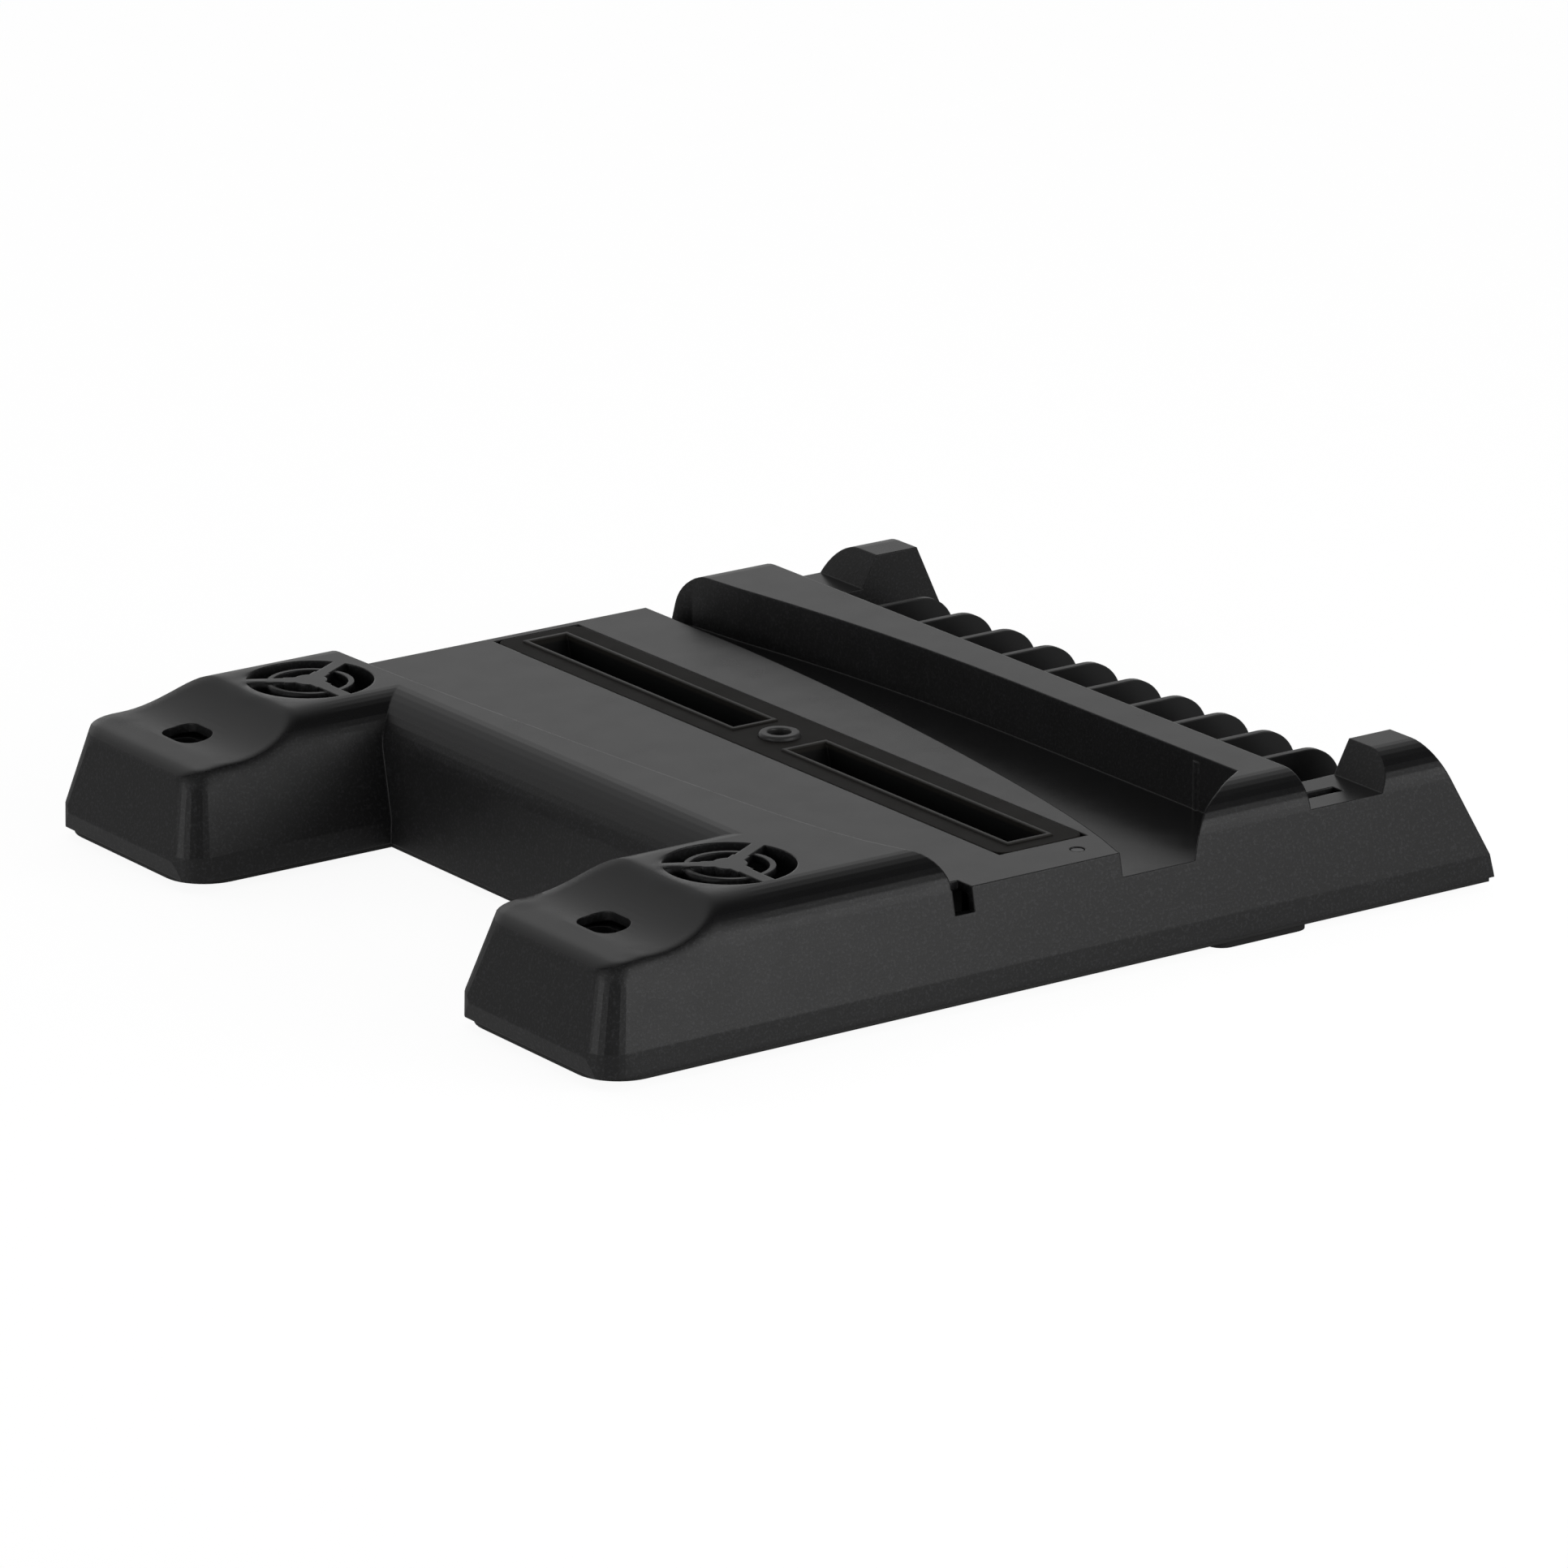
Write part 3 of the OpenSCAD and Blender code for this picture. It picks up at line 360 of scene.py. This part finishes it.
# at the skirt and at the pad: height, corner radius, end of the arm, outer side, inner side
CORNER_LOW = (0.0100, 0.0120, -0.14665, 0.13440, 0.06340)
CORNER_HIGH = (0.0347, 0.0108, -0.13998, 0.12884, 0.07106)
# from the skirt to below the pad, sunk just under the surface, turning from the end face to the side
CORNER_FROM, CORNER_TO = 0.0150, 0.0300
CORNER_SINK, CORNER_THICK = 0.00004, 0.0008
TURN_FROM, TURN_TO, TURN_STEPS = 20.0, 74.0, 18
for side, column, sign in (("far", 3, -1), ("near", 4, 1)):
    grid = {}
    wall = bmesh.new()
    for row, z in enumerate((CORNER_FROM, CORNER_TO)):
        mix = (z - CORNER_LOW[0]) / (CORNER_HIGH[0] - CORNER_LOW[0])
        radius, end_x, edge_y = (CORNER_LOW[i] + mix * (CORNER_HIGH[i] - CORNER_LOW[i]) for i in (1, 2, column))
        for layer, inset in enumerate((CORNER_SINK, CORNER_SINK + CORNER_THICK)):
            for i in range(TURN_STEPS + 1):
                turn = math.radians(TURN_FROM + (TURN_TO - TURN_FROM) * i / TURN_STEPS)
                x = end_x + radius - (radius - inset) * math.cos(turn)
                y = edge_y + sign * radius - sign * (radius - inset) * math.sin(turn)
                grid[layer, row, i] = wall.verts.new((x, y if side == "far" else -y, z))
    # outer skin, top edge, inner skin and bottom edge, then the two ends
    for i in range(TURN_STEPS):
        for a, b in (((0, 0), (0, 1)), ((0, 1), (1, 1)), ((1, 1), (1, 0)), ((1, 0), (0, 0))):
            wall.faces.new((grid[(*a, i)], grid[(*a, i + 1)], grid[(*b, i + 1)], grid[(*b, i)]))
    for i in (0, TURN_STEPS):
        wall.faces.new((grid[0, 0, i], grid[0, 1, i], grid[1, 1, i], grid[1, 0, i]))
    bmesh.ops.recalc_face_normals(wall, faces=wall.faces)
    add_piece(side + "_corner_wall", wall, black_abs, "stand")


# Base plate. A matt black tray inset under the skirt and screwed up from below, with air slats under
# each fan and posts for the boards.
dress(plastic("black_base", (0.012, 0.012, 0.012, 1), (0.03, 0.03, 0.03, 1), 0.60, 0.55, wall_height=0.6), "base_plate")


# Vent strip. A dull warm grey inlay pressed into the seat, with a bead round each air slot and a
# sloping throat below it. The beads carry a painted highlight and the throats painted shade.
# the bead colour is a painted highlight, the throat colour is painted shade
STRIP_GREY, STRIP_BEAD_HIGHLIGHT, STRIP_THROAT_SHADE = (0.0165, 0.0145, 0.0118, 1), (0.060, 0.058, 0.054, 1), (0.003, 0.003, 0.003, 1)
BEAD_FROM, BEAD_TO, THROAT_FROM, THROAT_TO = 0.03225, 0.03245, 0.0316, 0.0308


# the strip edges lighten toward the bead colour, partly wear and partly painted highlight
STRIP_EDGE, STRIP_EDGE_WEAR_AND_HIGHLIGHT, STRIP_BUMP, STRIP_SHEEN, BEAD_POLISH = 0.0008, 0.4, 0.00005, 0.18, 0.25


def strip_paint():
    """Dull face, polished beads above it with painted highlight, throats below it with painted shade, told apart by
    height.
    """
    material = bpy.data.materials.new("grey_strip")
    material.use_nodes = True
    tree = material.node_tree
    shader = tree.nodes["Principled BSDF"]
    shader.inputs["Specular IOR Level"].default_value = STRIP_SHEEN
    at = put(tree, "ShaderNodeSeparateXYZ")
    feed(tree, at.inputs[0], put(tree, "ShaderNodeTexCoord").outputs["Object"])
    # the beads round the slots get a painted highlight colour and a smoother finish
    bead = ramp(tree, at.outputs["Z"], BEAD_FROM, BEAD_TO)
    # painted shade: the throats below the strip face are darkened to stand for the shade down in the slots
    throat_shade = ramp(tree, at.outputs["Z"], THROAT_FROM, THROAT_TO)
    skin = use_group(tree, grain, Grain_Scale=2600.0, Wall_Height=0.2, Level_Height=0.3, Wall_Roughness=0.55,
                     Level_Roughness=0.60)
    rim = use_group(tree, edges, Radius=STRIP_EDGE)
    face = blend(tree, skin["Tone"], shade(STRIP_GREY, 0.85), shade(STRIP_GREY, 1.15))
    worn = calc(tree, "MULTIPLY", rim["Edge"], STRIP_EDGE_WEAR_AND_HIGHLIGHT)
    # painted highlight: the beads and the rubbed edges take the light bead colour
    lit = blend(tree, calc(tree, "MAXIMUM", bead, worn), face, STRIP_BEAD_HIGHLIGHT)
    feed(tree, shader.inputs["Base Color"], blend(tree, throat_shade, lit, STRIP_THROAT_SHADE))
    feed(tree, shader.inputs["Roughness"], calc(tree, "MULTIPLY_ADD", bead, -BEAD_POLISH, skin["Roughness"]))
    relief = put(tree, "ShaderNodeBump")
    relief.inputs["Distance"].default_value = STRIP_BUMP
    feed(tree, relief.inputs["Height"], skin["Height"])
    feed(tree, relief.inputs["Normal"], rim["Rounded Normal"])
    feed(tree, shader.inputs["Normal"], relief.outputs["Normal"])
    return material


dress(strip_paint(), "vent_strip")


# Screw collar. A raised bushing between the air slots for the screw that holds the console.
dress(plastic("grey_collar", colour=(0.055, 0.055, 0.054, 1), worn=(0.22, 0.22, 0.22, 1), wall_rough=0.30,
              level_rough=0.32, edge_radius=0.0010), "screw_collar")


# Case rack. A separate black comb, ten fins on one floor, screwed down between the end posts.
dress(plastic("black_rack", colour=(0.010, 0.010, 0.0105, 1), worn=(0.03, 0.03, 0.031, 1), wall_rough=0.36,
              level_rough=0.30, wall_height=0.25, level_height=0.10, edge_radius=0.0005), "case_rack")


# Fans. Square black frames with a motor base on three struts, and free running impellers with seven
# blades. A plain foil disc closes each hub, with a raised rim and a balance mark.
def add_block(tree, low, high):
    """A closed box between two corners."""
    size = [b - a for a, b in zip(low, high)]
    made = bmesh.ops.create_cube(tree, size=1.0)["verts"]
    bmesh.ops.scale(tree, vec=size, verts=made)
    bmesh.ops.translate(tree, vec=[(a + b) / 2 for a, b in zip(low, high)], verts=made)


def add_round(tree, at, radius, height, steps):
    """A closed round peg standing on at."""
    made = bmesh.ops.create_cone(tree, cap_ends=True, segments=steps, radius1=radius, radius2=radius,
                                 depth=height)["verts"]
    bmesh.ops.translate(tree, vec=(at[0], at[1], at[2] + height / 2), verts=made)


def add_ring(tree, at, inner, outer, height, steps):
    """A closed flat ring standing on at."""
    rows = []
    for radius, rise in ((inner, 0.0), (outer, 0.0), (outer, height), (inner, height)):
        rows.append([tree.verts.new((at[0] + radius * math.cos(2 * math.pi * i / steps),
                                     at[1] + radius * math.sin(2 * math.pi * i / steps), at[2] + rise))
                     for i in range(steps)])
    for row, after in zip(rows, rows[1:] + rows[:1]):
        for i in range(steps):
            j = (i + 1) % steps
            tree.faces.new((row[i], row[j], after[j], after[i]))


METAL_DARK, METAL_SPREAD, METAL_BUMP = 0.8, 0.2, 0.00003


def metal(name, colour, rough, scale=900.0):
    """Bare metal with a fine speckle of the given scale."""
    material = bpy.data.materials.new(name)
    material.use_nodes = True
    tree = material.node_tree
    shader = tree.nodes["Principled BSDF"]
    shader.inputs["Metallic"].default_value = 1.0
    speck = noise(tree, put(tree, "ShaderNodeTexCoord").outputs["Object"], scale, 3.0, 0.6)
    feed(tree, shader.inputs["Base Color"], blend(tree, speck, shade(colour, METAL_DARK), colour))
    feed(tree, shader.inputs["Roughness"],
         calc(tree, "MULTIPLY_ADD", speck, METAL_SPREAD, rough - METAL_SPREAD / 2))
    relief = put(tree, "ShaderNodeBump")
    relief.inputs["Distance"].default_value = METAL_BUMP
    feed(tree, relief.inputs["Height"], speck)
    feed(tree, shader.inputs["Normal"], relief.outputs["Normal"])
    return material


dress(plastic("fan_black", colour=(0.012, 0.012, 0.012, 1), worn=(0.04, 0.04, 0.04, 1), wall_rough=0.42,
              level_rough=0.40, level_height=0.2),
      "far_fan_frame", "near_fan_frame", "far_impeller", "near_impeller")
foil = metal("hub_foil", (0.20, 0.20, 0.205, 1), rough=0.45, scale=2400.0)
hub_plastic = plastic("hub_plastic", colour=(0.014, 0.014, 0.014, 1), worn=(0.05, 0.05, 0.05, 1), wall_rough=0.40,
                      level_rough=0.35)
HUB_TOP, HUB_STEPS = 0.0280, 48
FOIL_R, FOIL_THICK = 0.0086, 0.00008
HUB_RIM_IN, HUB_RIM_OUT, HUB_RIM_HIGH = 0.0092, 0.0100, 0.00035
MARK_OUT, MARK_R, MARK_HIGH, MARK_STEPS = 0.006, 0.0008, 0.00025, 20
for side, y in (("far", FAN_Y), ("near", -FAN_Y)):
    disc = bmesh.new()
    add_round(disc, (FAN_X, y, HUB_TOP), FOIL_R, FOIL_THICK, HUB_STEPS)
    add_piece(side + "_hub_foil", disc, foil, side + "_rotor")
    rim = bmesh.new()
    add_ring(rim, (FAN_X, y, HUB_TOP), HUB_RIM_IN, HUB_RIM_OUT, HUB_RIM_HIGH, HUB_STEPS)
    add_round(rim, (FAN_X + MARK_OUT, y, HUB_TOP + FOIL_THICK), MARK_R, MARK_HIGH, MARK_STEPS)
    add_piece(side + "_hub_rim", rim, hub_plastic, side + "_rotor")


# Charging docks. Ribbed guide sleeves under the pad holes, and plated plugs standing on small green
# boards. Each plug tongue carries five gold strips a side, each board a few soldered parts.
dress(plastic("dark_sleeve", colour=(0.03, 0.03, 0.031, 1), worn=(0.1, 0.1, 0.1, 1), wall_rough=0.38,
              level_rough=0.40, edge_radius=0.0003), "far_dock_sleeve", "near_dock_sleeve")
dress(metal("plated_shell", (0.55, 0.55, 0.57, 1), rough=0.28), "far_dock_plug", "near_dock_plug")
gold = metal("gold_contact", (0.80, 0.55, 0.22, 1), rough=0.28, scale=1800.0)
solder = metal("solder", (0.55, 0.56, 0.57, 1), rough=0.32, scale=1500.0)
part_black = plastic("part_black", colour=(0.015, 0.015, 0.016, 1), worn=(0.05, 0.05, 0.05, 1), wall_rough=0.5,
                     level_rough=0.45, edge_radius=0.0002)
part_tan = plastic("part_tan", colour=(0.30, 0.20, 0.11, 1), worn=(0.45, 0.35, 0.25, 1), wall_rough=0.45,
                   level_rough=0.4, edge_radius=0.0002)
# gold strips on both faces of the plug tongue
TONGUE_HALF, CONTACT_COUNT, CONTACT_STEP, CONTACT_WIDE = 0.0013, 5, 0.0016, 0.0008
CONTACT_LOW, CONTACT_HIGH, CONTACT_HALF, CONTACT_OUT = 0.0222, 0.0262, 0.00004, 0.00002
# half length, half width and height of the parts on the boards
CHIP, CHIP_END, CAPACITOR = (0.0010, 0.0006, 0.0006), (0.0003, 0.0007, 0.00035), (0.0015, 0.0009, 0.0012)
CHIP_END_OUT = 0.0012
BOARD_TOP = 0.0156
DOCK_CHIPS = ((-0.009, -0.007), (-0.009, 0.006), (0.008, -0.008))
DOCK_CAPACITORS = ((0.008, 0.006), (0.0085, 0.0))
DOCK_PADS, DOCK_PAD_R, DOCK_PAD_HIGH, DOCK_PAD_STEPS = (-0.0105, 0.0105), 0.0013, 0.0002, 24


def add_part(tree, x, y, foot, half_long, half_wide, high):
    """A block that stands on a board, its middle over x and y."""
    add_block(tree, (x - half_long, y - half_wide, foot), (x + half_long, y + half_wide, foot + high))


def add_chip(bodies, ends, x, y, foot):
    """A small chip with a soldered end on either side."""
    add_part(bodies, x, y, foot, *CHIP)
    for way in (-1, 1):
        add_part(ends, x + way * CHIP_END_OUT, y, foot, *CHIP_END)


for side, y in (("far", DOCK_Y), ("near", -DOCK_Y)):
    strips = bmesh.new()
    for face in (-1, 1):
        x = DOCK_X + face * (TONGUE_HALF + CONTACT_OUT)
        for i in range(CONTACT_COUNT):
            middle = y + (i - (CONTACT_COUNT - 1) / 2) * CONTACT_STEP
            add_block(strips, (x - CONTACT_HALF, middle - CONTACT_WIDE / 2, CONTACT_LOW),
                      (x + CONTACT_HALF, middle + CONTACT_WIDE / 2, CONTACT_HIGH))
    add_piece(side + "_plug_contacts", strips, gold, "stand")
    chips = bmesh.new()
    caps = bmesh.new()
    pads = bmesh.new()
    for dx, dy in DOCK_CHIPS:
        add_chip(chips, pads, DOCK_X + dx, y + dy, BOARD_TOP)
    for dx, dy in DOCK_CAPACITORS:
        add_part(caps, DOCK_X + dx, y + dy, BOARD_TOP, *CAPACITOR)
    for dy in DOCK_PADS:
        add_round(pads, (DOCK_X, y + dy, BOARD_TOP), DOCK_PAD_R, DOCK_PAD_HIGH, DOCK_PAD_STEPS)
    add_piece(side + "_dock_chips", chips, part_black, "stand")
    add_piece(side + "_dock_capacitors", caps, part_tan, "stand")
    add_piece(side + "_dock_solder", pads, solder, "stand")


# Circuit boards. Green glass fibre board under a thin lacquer, copper tracks showing as paler lines.
# The main board has a control chip on its legs, five small chips, two can capacitors and seven pads.
BOARD_GREEN, BOARD_TRACK = (0.008, 0.050, 0.024, 1), (0.022, 0.105, 0.045, 1)
LACQUER, TRACK_HEIGHT = 0.4, 0.00004
TRACK_SCALE, TRACK_BEND, TRACK_EDGE = 170.0, 3.0, (0.86, 0.94)
REGION_SCALE, REGION_EDGE = 130.0, (0.46, 0.54)


def board_paint():
    """Green lacquer over tracks that run along X in some regions and along Y in the others."""
    material = bpy.data.materials.new("green_board")
    material.use_nodes = True
    tree = material.node_tree
    shader = tree.nodes["Principled BSDF"]
    shader.inputs["Coat Weight"].default_value = LACQUER
    at = put(tree, "ShaderNodeTexCoord").outputs["Object"]
    turned = put(tree, "ShaderNodeMapping")
    feed(tree, turned.inputs["Vector"], at)
    turned.inputs["Rotation"].default_value = (0.0, 0.0, math.radians(90.0))
    tracks = []
    for where in (at, turned.outputs["Vector"]):
        wave = put(tree, "ShaderNodeTexWave", wave_type="BANDS", bands_direction="X")
        for label, item in (("Vector", where), ("Scale", TRACK_SCALE), ("Distortion", TRACK_BEND),
                            ("Detail", 0.0), ("Detail Scale", 0.25)):
            feed(tree, wave.inputs[label], item)
        tracks.append(ramp(tree, wave.outputs["Fac"], *TRACK_EDGE))
    region = ramp(tree, noise(tree, at, REGION_SCALE, 0.0), *REGION_EDGE)
    track = calc(tree, "MULTIPLY_ADD", region, calc(tree, "SUBTRACT", tracks[0], tracks[1]), tracks[1])
    feed(tree, shader.inputs["Base Color"], blend(tree, track, BOARD_GREEN, BOARD_TRACK))
    feed(tree, shader.inputs["Roughness"], calc(tree, "MULTIPLY_ADD", noise(tree, at, 900.0), 0.15, 0.28))
    relief = put(tree, "ShaderNodeBump")
    relief.inputs["Distance"].default_value = TRACK_HEIGHT
    feed(tree, relief.inputs["Height"], track)
    feed(tree, shader.inputs["Normal"], relief.outputs["Normal"])
    return material


dress(board_paint(), "far_dock_board", "near_dock_board", "main_board")
MAIN_TOP = 0.0138
CONTROL_X, CONTROL_Y, CONTROL_GAP = 0.0255, 0.1195, 0.0001
CONTROL = (0.0025, 0.0025, 0.0010)
LEG, LEG_COUNT, LEG_STEP, LEG_OUT = (0.00015, 0.0007, 0.0003), 6, 0.0008, 0.0031
PAD_ROW_X, PAD_ROW_Y, PAD_COUNT, PAD_STEP = 0.0235, 0.1003, 7, 0.0025
PAD_R, PAD_HIGH, PAD_STEPS = 0.0008, 0.00025, 16
MAIN_CHIPS = ((0.0590, 0.1020), (0.0590, 0.1060), (0.0590, 0.1100), (0.0485, 0.1175), (0.0660, 0.1150))
CAN_X, CAN_YS, CAN_R, CAN_HIGH, CAN_STEPS = 0.0655, (0.1030, 0.1090), 0.0024, 0.0028, 36
chips = bmesh.new()
legs = bmesh.new()
add_part(chips, CONTROL_X, CONTROL_Y, MAIN_TOP + CONTROL_GAP, *CONTROL)
for i in range(LEG_COUNT):
    for out in (-1, 1):
        add_part(legs, CONTROL_X + (i - (LEG_COUNT - 1) / 2) * LEG_STEP, CONTROL_Y + out * LEG_OUT, MAIN_TOP, *LEG)
for i in range(PAD_COUNT):
    add_round(legs, (PAD_ROW_X + i * PAD_STEP, PAD_ROW_Y, MAIN_TOP), PAD_R, PAD_HIGH, PAD_STEPS)
for x, y in MAIN_CHIPS:
    add_chip(chips, legs, x, y, MAIN_TOP)
add_piece("main_board_chips", chips, part_black, "stand")
add_piece("main_board_solder", legs, solder, "stand")
cans = bmesh.new()
for y in CAN_YS:
    add_round(cans, (CAN_X, y, MAIN_TOP), CAN_R, CAN_HIGH, CAN_STEPS)
add_piece("main_board_capacitors", cans, metal("capacitor_can", (0.62, 0.62, 0.63, 1), rough=0.35), "stand")


# Power inlet and switch. A folded steel shell with a contact tongue inside its mouth, and a black
# push switch behind the button. No cord is in the photograph, so nothing is plugged in.
dress(metal("inlet_shell", (0.55, 0.55, 0.56, 1), rough=0.30), "power_inlet")
dress(plastic("switch_black", colour=(0.014, 0.014, 0.014, 1), worn=(0.05, 0.05, 0.05, 1), wall_rough=0.45,
              level_rough=0.42, edge_radius=0.0003), "switch_body")
INLET_X, INLET_Z = 0.0360, 0.0154
MOUTH_HALF, MOUTH_THICK, MOUTH_BACK, MOUTH_FRONT = 0.0030, 0.0003, 0.1262, 0.1305
FINGER_COUNT, FINGER_STEP, FINGER_HALF, FINGER_THICK = 6, 0.0009, 0.0002, 0.00004
FINGER_OUT, FINGER_BACK, FINGER_FRONT = 0.00032, 0.1266, 0.1302
tongue = bmesh.new()
add_block(tongue, (INLET_X - MOUTH_HALF, MOUTH_BACK, INLET_Z - MOUTH_THICK),
          (INLET_X + MOUTH_HALF, MOUTH_FRONT, INLET_Z + MOUTH_THICK))
add_piece("inlet_tongue", tongue, part_black, "stand")
fingers = bmesh.new()
for i in range(FINGER_COUNT):
    x = INLET_X + (i - (FINGER_COUNT - 1) / 2) * FINGER_STEP
    for face in (-1, 1):
        z = INLET_Z + face * FINGER_OUT
        add_block(fingers, (x - FINGER_HALF, FINGER_BACK, z - FINGER_THICK),
                  (x + FINGER_HALF, FINGER_FRONT, z + FINGER_THICK))
add_piece("inlet_contacts", fingers, gold, "stand")


# Fan button. A satin black cap on the far side with three raised grip ridges. It slides in against a
# spring and comes back when it is let go.
button_black = plastic("black_button", colour=(0.016, 0.016, 0.0165, 1), worn=(0.05, 0.05, 0.05, 1), wall_rough=0.35,
                       level_rough=0.30, edge_radius=0.0004)
dress(button_black, "fan_button")
BUTTON_X, BUTTON_FACE_Y = 0.0580, 0.1342
RIDGE_STEPS, RIDGE_HALF, RIDGE_LOW, RIDGE_HIGH = (-0.0022, 0.0, 0.0022), 0.00035, 0.0156, 0.0180
RIDGE_SUNK, RIDGE_PROUD = 0.0001, 0.0002
ridges = bmesh.new()
for step in RIDGE_STEPS:
    add_block(ridges, (BUTTON_X + step - RIDGE_HALF, BUTTON_FACE_Y - RIDGE_SUNK, RIDGE_LOW),
              (BUTTON_X + step + RIDGE_HALF, BUTTON_FACE_Y + RIDGE_PROUD, RIDGE_HIGH))
add_piece("button_ridges", ridges, button_black, "button")


# Status lens. A clear light guide, dark because the lamp below it is off, with a slightly hazy face
# flush in the seat at the near end of the vent strip.
dress(plastic("clear_lens", colour=(0.035, 0.036, 0.040, 1), worn=(0.08, 0.08, 0.085, 1), wall_rough=0.2,
              level_rough=0.15, wall_height=0.0, level_height=0.02, edge_radius=0.0003), "status_lens")


# Feet. Six soft black rubber pads let into the base plate, with a moulded crosshatch that leaves the
# faces dull.
dress(plastic("black_rubber", colour=(0.010, 0.010, 0.010, 1), worn=(0.03, 0.03, 0.03, 1), wall_rough=0.80,
              level_rough=0.78, wall_height=0.8, level_height=0.8, grain_scale=1500.0), "rubber_feet")


# Screws. Zinc plated steel with cross recesses, driven upward from below into the housing, the rack
# and the fans. The recess is shown by a cross of painted shade let into each head.
dress(metal("zinc_screw", (0.50, 0.50, 0.52, 1), rough=0.35), "housing_screws", "rack_screws", "fan_screws")
# near-black painted shade, standing in for the shade inside each cross recess
recess_shade = plastic("painted_recess_shade", colour=(0.006, 0.006, 0.006, 1), worn=(0.02, 0.02, 0.02, 1), wall_rough=0.7,
                 level_rough=0.7, edge_radius=0.0001)
# the two strokes of a cross end at slightly different depths, so that no faces coincide
STROKE_DEEP, STROKE_DEEPER, STROKE_SUNK = 0.00004, 0.00005, 0.00002


def add_crosses(name, places, reach, wide, under):
    """Crosses of painted shade, for the recesses of screw heads that face down at the height under."""
    cross = bmesh.new()
    for x, y in places:
        add_block(cross, (x - reach, y - wide / 2, under - STROKE_DEEP),
                  (x + reach, y + wide / 2, under + STROKE_SUNK))
        add_block(cross, (x - wide / 2, y - reach, under - STROKE_DEEPER),
                  (x + wide / 2, y + reach, under + STROKE_SUNK))
    add_piece(name, cross, recess_shade, "stand")


HOUSING_SCREWS = ((-0.12805, 0.0739), (-0.12805, 0.1239), (-0.0436, 0.0622), (-0.0180, 0.1200), (0.0270, 0.0622),
                  (0.0768, 0.0960), (0.13605, 0.1120), (0.13605, 0.0361))
RACK_SCREWS = ((0.0960, 0.0800), (0.12405, 0.0980))
FAN_SCREW_OUT = 0.016
FAN_SCREWS = [(FAN_X + d, s * FAN_Y - d) for d in (-FAN_SCREW_OUT, FAN_SCREW_OUT) for s in (-1, 1)]
add_crosses("housing_screw_crosses", [(x, y * s) for x, y in HOUSING_SCREWS for s in (-1, 1)],
            reach=0.0016, wide=0.0006, under=0.0021)
add_crosses("rack_screw_crosses", [(x, y * s) for x, y in RACK_SCREWS for s in (-1, 1)],
            reach=0.0014, wide=0.0005, under=0.0100)
add_crosses("fan_screw_crosses", FAN_SCREWS, reach=0.0011, wide=0.0004, under=0.0174)
